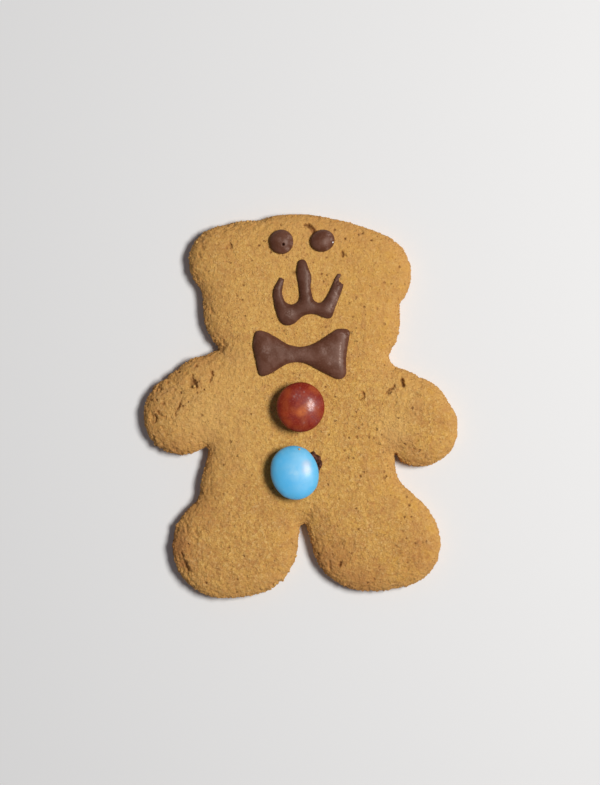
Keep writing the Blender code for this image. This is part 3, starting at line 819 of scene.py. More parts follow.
def baked(tree, place, fine):
    """The colour of baked dough: pale ridges, hollows browned as painted shade, and darker where the stains say so,
    partly as painted shade.
    """
    tone = stretch(tree, fine["Blotch"], 0.34, 0.66)
    mottle = stretch(tree, noise(tree, place, 1.3 * MM, 3, 0.65, 0.8), 0.36, 0.64)
    tone = math_node(tree, "ADD", share(tree, tone, 0.4), share(tree, mottle, 0.6))
    colour = mix_colours(tree, tone, TAN, PALE)
    yellow = stretch(tree, noise(tree, place, 2.8 * MM, 3, 0.6, 0.5), 0.45, 0.66)
    yellow = math_node(tree, "MULTIPLY", yellow, stain_value(tree, "golden"))
    colour = mix_colours(tree, yellow, colour, GOLD)
    rusty = stretch(tree, noise(tree, place, 2.0 * MM, 3, 0.6, 0.7), 0.52, 0.70)
    colour = mix_colours(tree, share(tree, rusty, 0.55), colour, RUSSET)
    coarse = stain_value(tree, "coarse")
    shaded = stretch(tree, noise(tree, place, 4.2 * MM, 2, 0.5, 0.4), 0.48, 0.70)
    shaded = math_node(tree, "MULTIPLY", share(tree, shaded, 0.5), coarse)
    colour = mix_colours(tree, shaded, colour, SHADE)
    # Painted shade: the hollows of the fine grain are tinted brown, since the bump casts no shadow.
    hollow_shade = share(tree, stretch(tree, fine["Grain"], 0.55, 0.36), 0.44)
    colour = mix_colours(tree, math_node(tree, "MULTIPLY", hollow_shade, coarse), colour, BROWN)
    floury = share(tree, stretch(tree, fine["Grain"], 0.52, 0.68), 0.35)
    colour = mix_colours(tree, math_node(tree, "MULTIPLY", floury, coarse), colour, FLOUR)
    colour = mix_colours(tree, share(tree, stain_value(tree, "paler"), 0.6), colour, (0.785, 0.473, 0.150))
    colour = mix_colours(tree, stain_value(tree, "crust_and_shade"), colour, CRUST)
    colour = mix_colours(tree, stain_value(tree, "browning_and_shade"), colour, BROWN)
    specks = math_node(tree, "MULTIPLY", share(tree, fine["Specks"], 0.42), coarse)
    colour = mix_colours(tree, specks, colour, DARK_BROWN)
    # Smears, and painted shade: the shadow beside the nose and darker floors in several gouges and holes.
    colour = mix_colours(tree, stain_value(tree, "smear_and_shade"), colour, SHADE_AND_SYRUP_BROWN)
    # Painted shade and syrup on the floors of marks: a browner tint where they are shallow, dark brown where they
    # are deep.
    dent = stretch(tree, stain_value(tree, "mark_shade_and_syrup"), 0.02, 0.35)
    colour = mix_colours(tree, share(tree, dent, 0.55), colour, DENT_SHADE_BROWN)
    mark_shade_mix = stretch(tree, stain_value(tree, "mark_shade_and_syrup"), 0.3, 1.1)
    return mix_colours(tree, share(tree, mark_shade_mix, 0.9), colour, SHADE_AND_SYRUP_BROWN)


fine = crumb_in(tree, place, 9 * MM, 0.9 * MM, 2.1 * MM)
tree.links.new(baked(tree, place, fine), shader.inputs["Base Color"])
height = math_node(tree, "MULTIPLY", fine["Height"], stain_value(tree, "coarse"))
bump = node(tree, "ShaderNodeBump", {"Strength": 1.0, "Distance": 0.40 * MM, "Height": height})
tree.links.new(bump.outputs["Normal"], shader.inputs["Normal"])
dough.data.materials.append(gingerbread)
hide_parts("cookie")
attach(dough, "root")
print("gingerbread has", len(tree.nodes), "nodes")

# %% [markdown]
# ## Loose grains of crumb
# Baked crumb breaks into grains of a third of a millimetre or so. They stand proud of the skin everywhere, most
# of all along the torn edge, where they make the outline ragged. One grain is modelled, a ball of twenty faces
# with its corners pushed about, and Geometry Nodes sows some thousands of it over the dough, each turned and
# sized at random and sunk to its middle. The copies are realized, so the result is one plain mesh.

# %% Grains
GRAIN_RADIUS = (0.09 * MM, 0.24 * MM)
MOST_GRAINS = 1.9 / MM**2  # at the edge, for each square of one millimetre
GRAINS_ON_TOP = 0.32  # as a share of that


def one_grain(name, seed):
    """A ball of twenty faces with its corners pushed about."""
    bpy.ops.object.select_all(action="DESELECT")
    bpy.ops.mesh.primitive_ico_sphere_add(subdivisions=1, radius=1)
    made = bpy.context.object
    made.name = name
    bpy.ops.object.mode_set(mode="EDIT")
    bpy.ops.transform.vertex_random(offset=0.3, seed=seed)
    bpy.ops.object.mode_set(mode="OBJECT")
    return made


def sow(name, ground, grain, group, density, radius, seed):
    """A mesh of many copies of the grain, sown where the group is painted, most and largest at its full."""
    tree = bpy.data.node_groups.new(name, "GeometryNodeTree")
    tree.interface.new_socket("Geometry", in_out="OUTPUT", socket_type="NodeSocketGeometry")
    skin = node(tree, "GeometryNodeObjectInfo", {"Object": ground}).outputs["Geometry"]
    shape = node(tree, "GeometryNodeObjectInfo", {"Object": grain}).outputs["Geometry"]
    painted = node(tree, "GeometryNodeInputNamedAttribute", {"Name": group}, data_type="FLOAT").outputs["Attribute"]
    density = node(tree, "ShaderNodeMath", {0: painted, 1: density}, operation="MULTIPLY").outputs[0]
    points = node(tree, "GeometryNodeDistributePointsOnFaces", {"Mesh": skin, "Density": density, "Seed": seed})
    turn = node(tree, "FunctionNodeRandomValue", {1: (math.tau,) * 3, "Seed": seed + 1}, data_type="FLOAT_VECTOR")
    size = node(tree, "FunctionNodeRandomValue", {2: radius[0], 3: radius[1], "Seed": seed + 2}, data_type="FLOAT")
    copies = node(tree, "GeometryNodeInstanceOnPoints", {"Points": points.outputs["Points"], "Instance": shape})
    larger = node(tree, "ShaderNodeMath", {0: painted, 1: 0.45, 2: 0.85}, operation="MULTIPLY_ADD").outputs[0]
    size = node(tree, "ShaderNodeMath", {0: size.outputs[1], 1: larger}, operation="MULTIPLY").outputs[0]
    tree.links.new(turn.outputs[0], copies.inputs["Rotation"])
    tree.links.new(size, copies.inputs["Scale"])
    real = node(tree, "GeometryNodeRealizeInstances", {"Geometry": copies.outputs[0]})
    node(tree, "NodeGroupOutput", {0: real.outputs[0]})
    piece = bpy.data.objects.new(name, bpy.data.meshes.new(name))
    bpy.context.scene.collection.objects.link(piece)
    modify(piece, "NODES", node_group=tree)
    bpy.data.node_groups.remove(tree)
    return piece


sides = 1 - ease(0.2, 1.2, edge_distance(dough))
paint(dough, "sown", off_table * (GRAINS_ON_TOP + (1 - GRAINS_ON_TOP) * sides))
grain_shape = one_grain("grain_shape", seed=3)
grains = sow("dough_grains", dough, grain_shape, "sown", MOST_GRAINS, GRAIN_RADIUS, seed=5)
bpy.data.objects.remove(grain_shape)
keep_inside(grains, "cookie")
grains.data.materials.clear()
grains.data.materials.append(gingerbread)
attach(grains, "root")
print("grains", triangles(grains), "triangles")

# %% [markdown]
# ## Icing strokes
# The muzzle and the bow tie were piped with a bag and set as smooth, rounded strokes. Their outline and swell
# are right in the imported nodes. A fine remesh and a smoothing pass melt the facets away, and the underside is
# drawn down a little, so that the icing meets the dough all round, as it does when it is squeezed on.

# %% Piped icing
ICING_GRID = 0.2 * MM
ICING_FLOOR = 7.9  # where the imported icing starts, mm
SINK = 0.7 * MM


def draw_down(piece):
    """Pulls the underside of icing into the dough."""
    bottom = points_of(piece)[:, 2] < ICING_FLOOR + 0.12
    only(piece)
    bpy.ops.object.mode_set(mode="EDIT")
    bpy.ops.mesh.select_mode(type="VERT")
    bpy.ops.mesh.select_all(action="DESELECT")
    bpy.ops.object.mode_set(mode="OBJECT")
    piece.data.vertices.foreach_set("select", bottom)
    bpy.ops.object.mode_set(mode="EDIT")
    bpy.ops.transform.translate(value=(0, 0, -SINK))
    bpy.ops.object.mode_set(mode="OBJECT")


def icing_stroke(name, node_name, uneven, ragged, bloom_and_sheen, streaks):
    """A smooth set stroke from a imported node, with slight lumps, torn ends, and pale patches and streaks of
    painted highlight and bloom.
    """
    piece = merged_copy(node_name, name)
    modify(piece, "REMESH", mode="VOXEL", voxel_size=ICING_GRID, use_smooth_shade=True)
    modify(piece, "SMOOTH", factor=0.5, iterations=14)
    draw_down(piece)
    roughen(piece, lumps(name + "_lumps", 4.5 * MM, depth=1), uneven)
    roughen(piece, lumps(name + "_ripples", 1.6 * MM, depth=1), uneven * 0.2)
    paint(piece, "ragged", patches_of(points_of(piece), ragged))
    roughen(piece, lumps(name + "_torn", 0.6 * MM), 1.5 * MM, group="ragged")
    points = points_of(piece)
    stain(piece, "bloom_and_sheen", np.maximum(patches_of(points, bloom_and_sheen), strokes_of(points, streaks)))
    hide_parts(node_name)
    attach(piece, "root")
    print(name, triangles(piece), "triangles")
    return piece


TORN_TIPS = [(-5.7, 38.0, 1.5, 0.7), (11.3, 37.4, 2.0, 1.0), (11.7, 39.4, 1.2, 0.8)]
# Pale patches and streaks on the icing, mostly painted highlights and sheen: x, y, radius, strength; a streak gives
# its points, half width and strength.
MUZZLE_SHEEN = [(-3.2, 27.8, 2.0, 0.3), (8.8, 29.8, 2.0, 0.35), (10.4, 32.6, 1.4, 0.35), (10.1, 31.2, 1.2, 0.25),
                 (-6.9, 35.6, 1.0, 0.2)]
MUZZLE_HIGHLIGHTS = [([(2.2, 40.4), (2.6, 38.6), (2.7, 36.6), (2.3, 34.4)], 0.5, 0.2),
                  ([(10.2, 34.6), (10.9, 33.0), (10.7, 31.6)], 0.6, 0.4), ([(-3.9, 28.2), (-2.6, 27.3)], 0.9, 0.35)]
BOW_BLOOM_AND_SHEEN = [(-10.2, 16.9, 2.4, 0.3), (-9.4, 14.6, 1.8, 0.15), (7.0, 16.6, 2.0, 0.32), (9.4, 17.9, 2.2, 0.12),
              (9.0, 14.0, 2.0, 0.15), (8.6, 12.7, 0.9, 0.35), (-2.6, 14.6, 2.2, 0.2), (-7.0, 18.2, 2.0, 0.12),
              (12.9, 20.8, 1.0, 0.3), (0.6, 16.3, 5.0, 0.1)]
BOW_HIGHLIGHTS = [([(11.9, 18.9), (11.8, 16.0), (11.7, 12.4)], 0.45, 0.8), ([(13.2, 21.4), (12.2, 21.9)], 0.4, 0.4)]
EYE_SHEEN = [(-3.4, 50.6, 1.2, 0.35), (-3.9, 47.0, 1.1, 0.4), (-2.7, 48.7, 1.0, 0.35), (-6.2, 49.8, 1.2, 0.2),
              (8.4, 51.3, 1.1, 0.4), (9.2, 50.0, 0.8, 0.35), (7.4, 48.6, 1.2, 0.25), (8.2, 47.2, 1.0, 0.25)]

muzzle = icing_stroke("muzzle_icing", "muzzle", 0.2 * MM, TORN_TIPS, MUZZLE_SHEEN, MUZZLE_HIGHLIGHTS)
stain(muzzle, "deep", np.full(len(muzzle.data.vertices), 0.17))
TORN_CORNER = [(14.2, 21.6, 1.6, 0.7)]
bow_tie = icing_stroke("bow_tie_icing", "bow_tie", 0.25 * MM, TORN_CORNER, BOW_BLOOM_AND_SHEEN, BOW_HIGHLIGHTS)
nudge(bow_tie, "flattened", [(-7.2, 20.8, 3.2, 1.0)], -0.5 * MM)

# %% [markdown]
# ## Eyes
# Each eye is one drop of icing that slumped into a low dome. A ball is added at its size, squashed, and cut
# flat where it sits in the dough. The left one has a pin hole where an air bubble burst.

# %% Eye drops
DROP_SEGMENTS = 96
DROP_RINGS = 48


def drop(name, node_name, half, turn, lean, holes=()):
    """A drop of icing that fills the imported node's box."""
    low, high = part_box(node_name)
    middle = Vector(((low.x + high.x) / 2, (low.y + high.y) / 2, 7.55 * MM))
    bpy.ops.object.select_all(action="DESELECT")
    bpy.ops.mesh.primitive_uv_sphere_add(segments=DROP_SEGMENTS, ring_count=DROP_RINGS, radius=1)
    piece = bpy.context.object
    piece.name = piece.data.name = name
    bpy.ops.object.mode_set(mode="EDIT")
    bpy.ops.transform.resize(value=(half[0] * MM, half[1] * MM, half[2] * MM))
    bpy.ops.transform.rotate(value=-math.radians(turn), orient_axis="Z", center_override=(0, 0, 0))
    bpy.ops.mesh.select_all(action="SELECT")
    bpy.ops.mesh.bisect(
        plane_co=(0, 0, -0.02 * MM), plane_no=(0, 0, 1), clear_inner=True, use_fill=True, threshold=TOUCHING
    )
    bpy.ops.mesh.extrude_region_move(TRANSFORM_OT_translate={"value": (0, 0, -SINK)})
    bpy.ops.mesh.select_all(action="SELECT")
    bpy.ops.transform.rotate(value=-math.radians(lean), orient_axis="X", center_override=(0, 0, 0))
    bpy.ops.transform.translate(value=middle)
    bpy.ops.object.mode_set(mode="OBJECT")
    modify(piece, "REMESH", mode="VOXEL", voxel_size=0.15 * MM, use_smooth_shade=True)
    modify(piece, "SMOOTH", factor=0.5, iterations=4)
    roughen(piece, lumps(name + "_lumps", 3.5 * MM), 0.25 * MM)
    points = points_of(piece)
    pit = np.zeros(len(points))
    for x, y, radius in holes:
        pit = np.maximum(pit, bowl(np.hypot(points[:, 0] - x, points[:, 1] - y), radius))
    pit = pit * (points[:, 2] > ICING_FLOOR + 0.5)
    paint(piece, "pit", pit)
    # Painted shade: the pin hole's floor gets the dark dried-icing colour.
    stain(piece, "dry_and_shade", np.clip(2.5 * pit, 0, 1))
    stain(piece, "bloom_and_sheen", patches_of(points, EYE_SHEEN))
    modify(piece, "DISPLACE", strength=-1.2 * MM, mid_level=0, vertex_group="pit", direction="Z")
    keep_inside_icing(piece, node_name)
    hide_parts(node_name)
    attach(piece, "root")
    print(name, triangles(piece), "triangles")
    return piece


def keep_inside_icing(piece, node_name):
    """Keeps icing to its packed box, except where it sinks into the dough."""
    low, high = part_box(node_name)
    points = points_of(piece) * MM
    low = np.array((low.x, low.y, low.z - SINK))
    piece.data.vertices.foreach_set("co", np.clip(points, low, np.array(high)).astype(np.float32).ravel())
    piece.data.update()


left_eye = drop("eye_left_icing", "eye_left", (3.65, 3.7, 2.4), 0, -5.5, holes=[(-5.2, 48.4, 0.5)])
right_eye = drop("eye_right_icing", "eye_right", (3.75, 3.3, 2.3), 20, -5.5)

# %% [markdown]
# ## Dabs under the candies
# A dab of icing glues each candy on. The blue candy slid off its own a little, so a rough dried crescent of it
# shows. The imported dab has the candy's hollow pressed in. It is remeshed, drawn down like the other icing, and
# roughened, because this edge tore as it dried.

# %% Dabs


def dab(name, node_name, uneven, broken):
    """A rough dried dab, thinner where it broke away."""
    piece = merged_copy(node_name, name)
    modify(piece, "REMESH", mode="VOXEL", voxel_size=0.16 * MM, use_smooth_shade=True)
    modify(piece, "SMOOTH", factor=0.5, iterations=3)
    draw_down(piece)
    roughen(piece, lumps(name + "_torn", 1.6 * MM), uneven)
    roughen(piece, lumps(name + "_crumbly", 0.6 * MM), uneven * 0.6)
    nudge(piece, "broken", broken, -3.0 * MM, "Z")
    stain(piece, "dry_and_shade", np.ones(len(piece.data.vertices)))
    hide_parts(node_name)
    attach(piece, "root")
    print(name, triangles(piece), "triangles")
    return piece


BROKEN = [(1.6, -12.4, 1.8, 1.0), (2.8, -13.1, 1.4, 1.0), (5.3, -13.6, 1.8, 1.0)]
blue_dab = dab("dab_blue_icing", "dab_blue", 1.0 * MM, BROKEN)
nudge(blue_dab, "crumbled", [(5.5, -15.4, 0.7, 0.5), (5.9, -17.4, 0.9, 0.5)], 0.7 * MM)
red_dab = dab("dab_red_icing", "dab_red", 0.2 * MM, [])

# %% [markdown]
# ## Bloom: one effect for icing and shells
# Chocolate and sugar coatings turn cloudy in patches as they dry: fat and sugar come to the surface. It is a
# soft, low-contrast mask, and icing and shells share it at different sizes.

# %% Group: bloom
bloom, given, result = new_group("bloom", {"Place": None, "Patch Scale": 250.0, "Spot Scale": 900.0}, ["Patches", "Spots"])
patch = node(
    bloom, "ShaderNodeTexNoise", {"Vector": given["Place"], "Scale": given["Patch Scale"], "Detail": 3.0, "Distortion": 0.6}
)
spot = node(bloom, "ShaderNodeTexNoise", {"Vector": given["Place"], "Scale": given["Spot Scale"], "Detail": 2.0})
bloom.links.new(stretch(bloom, patch.outputs[0], 0.42, 0.68, smooth=True), result["Patches"])
bloom.links.new(stretch(bloom, spot.outputs[0], 0.45, 0.75, smooth=True), result["Spots"])
print("bloom group has", len(bloom.nodes), "nodes")


def bloom_in(tree, place, patch_size, spot_size):
    made = node(tree, "ShaderNodeGroup", node_tree=bloom)
    tree.links.new(place, made.inputs["Place"])
    made.inputs["Patch Scale"].default_value = 1 / patch_size
    made.inputs["Spot Scale"].default_value = 1 / spot_size
    return made.outputs["Patches"], made.outputs["Spots"]


# %% [markdown]
# ## Chocolate icing
# Dark milk chocolate brown with a greyish bloom. Set icing has a satin skin: its highlights are broad and dull. Pale
# patches and streaks on the strokes and eyes are painted highlights and sheen, mixed with the bloom.

# %% Material: chocolate icing
chocolate, tree, shader = finish("chocolate_icing", 0.45, 0.27)
shader.inputs["Specular Tint"].default_value = (1.0, 0.84, 0.74, 1)
place = object_place(tree)
patches, spots = bloom_in(tree, place, 3.5 * MM, 0.5 * MM)
colour = mix_colours(tree, patches, (0.108, 0.038, 0.020), (0.142, 0.058, 0.036))
colour = mix_colours(tree, math_node(tree, "MULTIPLY", spots, 0.35), colour, (0.19, 0.092, 0.062))
colour = mix_colours(tree, stain_value(tree, "deep"), colour, (0.020, 0.006, 0.003))
uneven = stretch(tree, noise(tree, place, 0.55 * MM, 2, 0.6), 0.42, 0.6, 0.15, 1.0)
# Painted highlights and sheen, with some bloom, from the pale patches and streaks.
bloom_and_sheen = math_node(tree, "MULTIPLY", stain_value(tree, "bloom_and_sheen"), uneven)
colour = mix_colours(tree, bloom_and_sheen, colour, (0.46, 0.315, 0.255))
crumbly = stretch(tree, noise(tree, place, 0.8 * MM, 2), 0.4, 0.62)
dry_colour = mix_colours(tree, crumbly, (0.034, 0.012, 0.007), (0.150, 0.050, 0.031))
# Dried icing on the dabs, and painted shade in the eye's pin hole.
colour = mix_colours(tree, share(tree, stain_value(tree, "dry_and_shade"), 0.9), colour, dry_colour)
tree.links.new(colour, shader.inputs["Base Color"])
satin = stretch(tree, patches, 0, 1, 0.42, 0.52)
dull = math_node(tree, "ADD", satin, share(tree, stain_value(tree, "dry_and_shade"), 0.4))
tree.links.new(dull, shader.inputs["Roughness"])
height = noise(tree, place, 0.45 * MM, 3)
bump = node(tree, "ShaderNodeBump", {"Strength": 1.0, "Distance": 0.034 * MM, "Height": height})
tree.links.new(bump.outputs["Normal"], shader.inputs["Normal"])
for piece in (muzzle, bow_tie, left_eye, right_eye, blue_dab, red_dab):
    piece.data.materials.clear()
    piece.data.materials.append(chocolate)
print("chocolate icing has", len(tree.nodes), "nodes")

# %% [markdown]
# ## Candies
# Each candy is a chocolate lens in a thin sugar shell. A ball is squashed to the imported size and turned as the
# candy lies. Shells are tumbled in a drum, so they are very smooth but never quite even: a weak cloudy
# displacement pulls the highlight out of shape, as on the real ones.

# %% Shells
SHELL_SEGMENTS = 128
SHELL_RINGS = 80


def shell(name, node_name, half, turn, tilt, square, uneven):
    """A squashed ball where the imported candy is."""
    low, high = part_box(node_name)
    middle = (low + high) / 2
    bpy.ops.object.select_all(action="DESELECT")
    bpy.ops.mesh.primitive_uv_sphere_add(segments=SHELL_SEGMENTS, ring_count=SHELL_RINGS, radius=1)
    piece = bpy.context.object
    piece.name = piece.data.name = name
    bpy.ops.object.mode_set(mode="EDIT")
    bpy.ops.transform.resize(value=[size * MM for size in half])
    bpy.ops.object.mode_set(mode="OBJECT")
    if square:
        modify(piece, "CAST", cast_type="CUBOID", factor=square, use_z=False)
    piece.rotation_euler = Euler([math.radians(angle) for angle in (*tilt, turn)])
    piece.location = middle
    only(piece)
    bpy.ops.object.transform_apply(location=True, rotation=True, scale=True)
    roughen(piece, lumps(name + "_tumbled", 6 * MM, depth=1), uneven)
    bpy.ops.object.shade_smooth()
    points = points_of(piece) * MM
    piece.data.vertices.foreach_set("co", np.clip(points, np.array(low), np.array(high)).astype(np.float32).ravel())
    piece.data.update()
    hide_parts(node_name)
    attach(piece, "root")
    print(name, triangles(piece), "triangles")
    return piece


red_shell = shell("candy_red_shell", "candy_red", (7.22, 7.47, 2.98), 0, (-1.2, 3), 0, 0.12 * MM)
blue_shell = shell("candy_blue_shell", "candy_blue", (7.12, 8.12, 2.98), 16, (0, 0.5), 0.06, 0.12 * MM)

# %% Worn patches of the shells, and painted highlight, sheen and shade
# (points along it), half width, strength. Where the red wore thin, orange shows through.
ORANGE = [
    ([(0.0, -1.8), (0.8, -1.2)], 2.2, 1.0),
    ([(0.6, -1.4), (2.8, 0.8)], 1.6, 0.75),
    ([(-4.0, 4.2), (-4.7, 1.4), (-4.4, -1.0)], 2.0, 0.25),
    ([(-4.9, -3.2), (-3.6, -5.2)], 1.8, 0.2),
    ([(-1.4, -6.5), (1.4, -6.0)], 1.5, 0.2),
    ([(3.2, 5.4), (4.9, 4.2)], 1.5, 0.35),
    ([(4.6, -0.8), (5.4, -2.2)], 1.8, 0.25),
    ([(-2.6, -1.0), (-1.2, -1.6)], 1.8, 0.25),
    ([(0.6, -3.5), (1.2, -5.2)], 1.5, 0.25),
]
# x, y, radius, strength. Where the shell rubbed dull it clouded; the patch above the middle is partly a painted dull
# second reflection.
RED_CLOUDS_AND_SHEEN = [(-1.0, 3.2, 3.2, 1.0), (0.6, 1.4, 2.4, 0.5), (5.4, 1.0, 2.2, 0.8), (4.4, -3.9, 2.6, 0.8),
              (-2.4, -3.4, 2.4, 0.3), (2.6, -1.9, 1.8, 0.5), (1.0, -4.6, 2.0, 0.5), (-1.2, 0.2, 1.8, 0.4)]
# Whitish specks, partly painted glints in and beside the highlight and above the middle: x, y, radius, strength.
CHALK_AND_GLINTS = [(-1.9, 2.9, 0.55, 0.7), (-1.4, 3.5, 0.45, 0.5), (-0.3, 3.1, 0.5, 0.6), (-0.9, 2.3, 0.4, 0.35),
         (1.0, 4.3, 0.45, 0.6), (1.0, -4.9, 0.5, 0.4), (5.3, -0.4, 0.4, 0.4), (-2.3, 2.2, 0.35, 0.4),
         (2.4, 2.5, 0.5, 0.8), (3.0, 1.9, 0.6, 0.8), (4.4, 2.6, 0.35, 0.5), (4.6, 1.3, 0.35, 0.4),
         (-3.1, 1.5, 0.3, 0.3), (3.4, -3.2, 0.35, 0.35), (4.6, -4.6, 0.35, 0.35), (-0.2, 5.5, 0.4, 0.3)]
# Painted light: the shaded lower left of the blue shell is painted bluer and brighter. x, y, radius, strength
DEEP = [(-3.0, -22.5, 8.0, 1.0), (-5.0, -17.0, 4.0, 0.7), (0.5, -25.5, 5.0, 1.0)]
# Pale patches, partly painted sheen: the one on the middle paints a broad dull reflection.
BLUE_CLOUDS_AND_SHEEN = [(-1.5, -19.9, 3.8, 1.0), (-3.4, -18.0, 2.6, 0.4), (0.8, -21.6, 3.0, 0.5), (0.0, -24.0, 4.0, 0.4),
               (-0.6, -14.2, 3.5, 0.5), (3.6, -21.5, 3.0, 0.2)]
# A painted highlight: paler, less blue colour where the light reflects. x, y, radius, strength
BLUE_HIGHLIGHT_PAINT = [(1.75, -17.4, 2.2, 1.0), (1.8, -18.9, 2.2, 1.0)]

spots = points_of(red_shell)[:, :2]
stain(red_shell, "orange", strokes_of(spots, ORANGE))
stain(red_shell, "bloom_and_sheen", patches_of(spots, RED_CLOUDS_AND_SHEEN))
stain(red_shell, "chalk_and_glints", patches_of(spots, CHALK_AND_GLINTS))
stain(blue_shell, "bloom_and_sheen", patches_of(points_of(blue_shell), BLUE_CLOUDS_AND_SHEEN))
stain(blue_shell, "painted_highlight", patches_of(points_of(blue_shell), BLUE_HIGHLIGHT_PAINT))
stain(blue_shell, "deep", patches_of(points_of(blue_shell), DEEP))
print(len(ORANGE), "orange patches")

# %% Material: red shell
red, tree, shader = finish("red_sugar_shell", 0.5, 0.22)
shader.inputs["Coat Roughness"].default_value = 0.19
place = object_place(tree)
patches, spots = bloom_in(tree, place, 2.6 * MM, 0.45 * MM)
colour = mix_colours(tree, patches, (0.210, 0.012, 0.003), (0.295, 0.028, 0.005))
patchy = stretch(tree, noise(tree, place, 0.7 * MM, 3, 0.65, 0.5), 0.34, 0.62, 0.2, 1.0)
# Clouded patches, partly painted sheen.
bloom_and_sheen = math_node(tree, "MULTIPLY", stain_value(tree, "bloom_and_sheen"), patchy)
colour = mix_colours(tree, share(tree, bloom_and_sheen, 0.75), colour, (0.195, 0.046, 0.046))
worn = stretch(tree, noise(tree, place, 1.5 * MM, 3, 0.6, 1.0), 0.32, 0.62, 0.45, 1.0)
worn = math_node(tree, "MULTIPLY", stain_value(tree, "orange"), worn)
colour = mix_colours(tree, worn, colour, (0.60, 0.150, 0.028))
colour = mix_colours(tree, share(tree, spots, 0.42), colour, (0.40, 0.080, 0.036))
# Whitish specks, partly painted glints.
chalk_and_glints = math_node(tree, "MULTIPLY", stain_value(tree, "chalk_and_glints"), patchy)
colour = mix_colours(tree, chalk_and_glints, colour, (0.42, 0.25, 0.22))
tree.links.new(colour, shader.inputs["Base Color"])
tree.links.new(stretch(tree, patchy, 0.2, 1, 0.45, 0.6), shader.inputs["Roughness"])
tree.links.new(stretch(tree, patchy, 0.2, 1, 0.5, 0.16), shader.inputs["Coat Weight"])
bump = node(tree, "ShaderNodeBump", {"Strength": 1.0, "Distance": 0.04 * MM, "Height": noise(tree, place, 0.55 * MM, 3)})
tree.links.new(bump.outputs["Normal"], shader.inputs["Normal"])
red_shell.data.materials.clear()
red_shell.data.materials.append(red)
print("red shell has", len(tree.nodes), "nodes")

# %% Material: blue shell
blue, tree, shader = finish("blue_sugar_shell", 0.5, 0.8)
shader.inputs["Coat Weight"].default_value = 0.2
shader.inputs["Coat Roughness"].default_value = 0.19
place = object_place(tree)
patches, spots = bloom_in(tree, place, 4.0 * MM, 1.0 * MM)
colour = mix_colours(tree, patches, (0.090, 0.465, 0.760), (0.125, 0.500, 0.790))
# Painted light: the shaded lower left is painted bluer and brighter.
colour = mix_colours(tree, stain_value(tree, "deep"), colour, (0.085, 0.500, 0.870))
patchy = stretch(tree, noise(tree, place, 1.4 * MM, 3, 0.6), 0.3, 0.65, 0.3, 1.0)
# Pale patches, partly painted sheen.
bloom_and_sheen = math_node(tree, "MULTIPLY", stain_value(tree, "bloom_and_sheen"), patchy)
colour = mix_colours(tree, share(tree, bloom_and_sheen, 0.6), colour, (0.36, 0.66, 0.83))
colour = mix_colours(tree, share(tree, spots, 0.10), colour, (0.30, 0.60, 0.85))
# Painted highlight: paler, less blue where the light reflects.
colour = mix_colours(tree, share(tree, stain_value(tree, "painted_highlight"), 0.9), colour, (0.34, 0.46, 0.60))
tree.links.new(colour, shader.inputs["Base Color"])
tree.links.new(stretch(tree, spots, 0, 1, 0.53, 0.58), shader.inputs["Roughness"])
bump = node(tree, "ShaderNodeBump", {"Strength": 1.0, "Distance": 0.008 * MM, "Height": noise(tree, place, 1.2 * MM, 2)})
tree.links.new(bump.outputs["Normal"], shader.inputs["Normal"])
blue_shell.data.materials.clear()
blue_shell.data.materials.append(blue)
print("blue shell has", len(tree.nodes), "nodes")

# %% [markdown]
# ## Loose crumbs and a grain of sugar
# A few crumbs broke off and stuck: in the large gouge, on the blue candy, and proud of the edge. Each is a ball
# pushed out of shape by a cloudy texture and let down on to what lies under it. They have the dough's finish.
# One grain of sugar sits on the right eye: a small cube with worn edges, clear enough to look white.

# %% Crumbs
# x, y, radius
CRUMBS = [(-31.9, 5.8, 0.4), (-0.42, -12.8, 0.34), (-16.0, 55.6, 0.4), (-31.2, 49.2, 0.42), (-1.5, -44.9, 0.4),
          (-5.2, -51.0, 0.42), (-7.8, -53.4, 0.38), (24.1, -11.1, 0.36)]


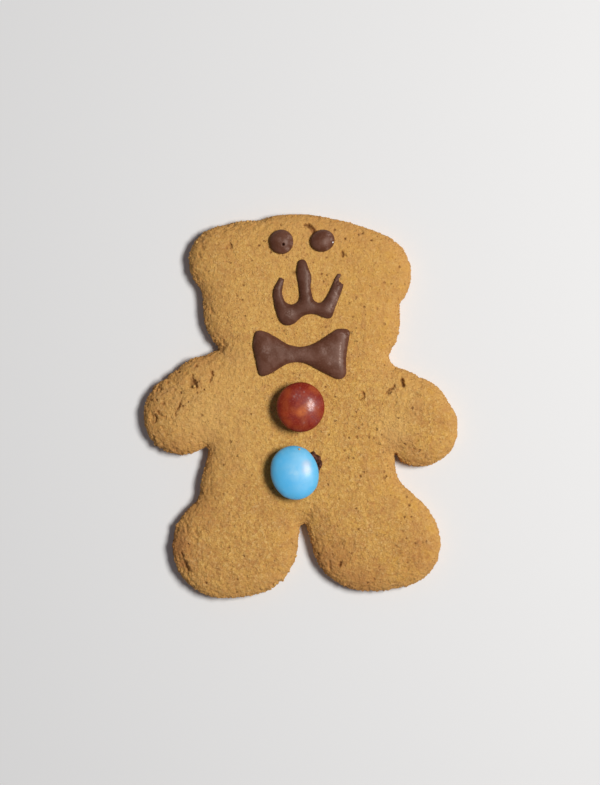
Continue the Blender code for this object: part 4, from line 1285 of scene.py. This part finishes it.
def let_down(x, y):
    """The point of the finished surfaces that lies under a place, in mm."""
    bpy.context.view_layer.update()
    view = bpy.context.evaluated_depsgraph_get()
    hit, where, *_ = bpy.context.scene.ray_cast(view, (x * MM, y * MM, 0.05), (0, 0, -1))
    return where / MM


pieces = []
for i, (x, y, radius) in enumerate(CRUMBS):
    under = let_down(x, y)
    bpy.ops.object.select_all(action="DESELECT")
    bpy.ops.mesh.primitive_ico_sphere_add(subdivisions=3, radius=radius * MM, location=under * MM)
    crumb_piece = bpy.context.object
    bpy.ops.object.transform_apply(location=True, rotation=True, scale=True)
    roughen(crumb_piece, lumps(f"broken_{i}", 0.35 * MM), 1.6 * radius * MM)
    pieces.append(crumb_piece)
bpy.ops.object.select_all(action="DESELECT")
for crumb_piece in pieces:
    crumb_piece.select_set(True)
bpy.context.view_layer.objects.active = pieces[0]
bpy.ops.object.join()
crumbs = bpy.context.object
crumbs.name = crumbs.data.name = "loose_crumbs"
bpy.ops.object.transform_apply(location=True, rotation=True, scale=True)
bpy.ops.object.shade_smooth()
stain(crumbs, "paler", np.ones(len(crumbs.data.vertices)))
stain(crumbs, "coarse", np.ones(len(crumbs.data.vertices)))
crumbs.data.materials.append(gingerbread)
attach(crumbs, "root")
print("crumbs", triangles(crumbs), "triangles")

# %% A grain of sugar
SUGAR_AT = (9.6, 49.1)
SUGAR_SIZE = 0.42

bpy.ops.object.select_all(action="DESELECT")
bpy.ops.mesh.primitive_cube_add(
    size=SUGAR_SIZE * MM, location=let_down(*SUGAR_AT) * MM, rotation=(0.5, 0.3, 0.6)
)
sugar = bpy.context.object
sugar.name = sugar.data.name = "sugar_grain"
bpy.ops.object.transform_apply(location=True, rotation=True, scale=True)
bpy.ops.object.mode_set(mode="EDIT")
bpy.ops.mesh.bevel(offset=0.08 * MM, segments=2)
bpy.ops.object.mode_set(mode="OBJECT")
sugar_clear, tree, shader = finish("sugar", 0.25, 0.5)
frost = noise(tree, object_place(tree), 0.2 * MM)
tree.links.new(mix_colours(tree, frost, (0.80, 0.74, 0.66), (0.95, 0.93, 0.90)), shader.inputs["Base Color"])
sugar.data.materials.append(sugar_clear)
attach(sugar, "root")
print("sugar", triangles(sugar), "triangles")
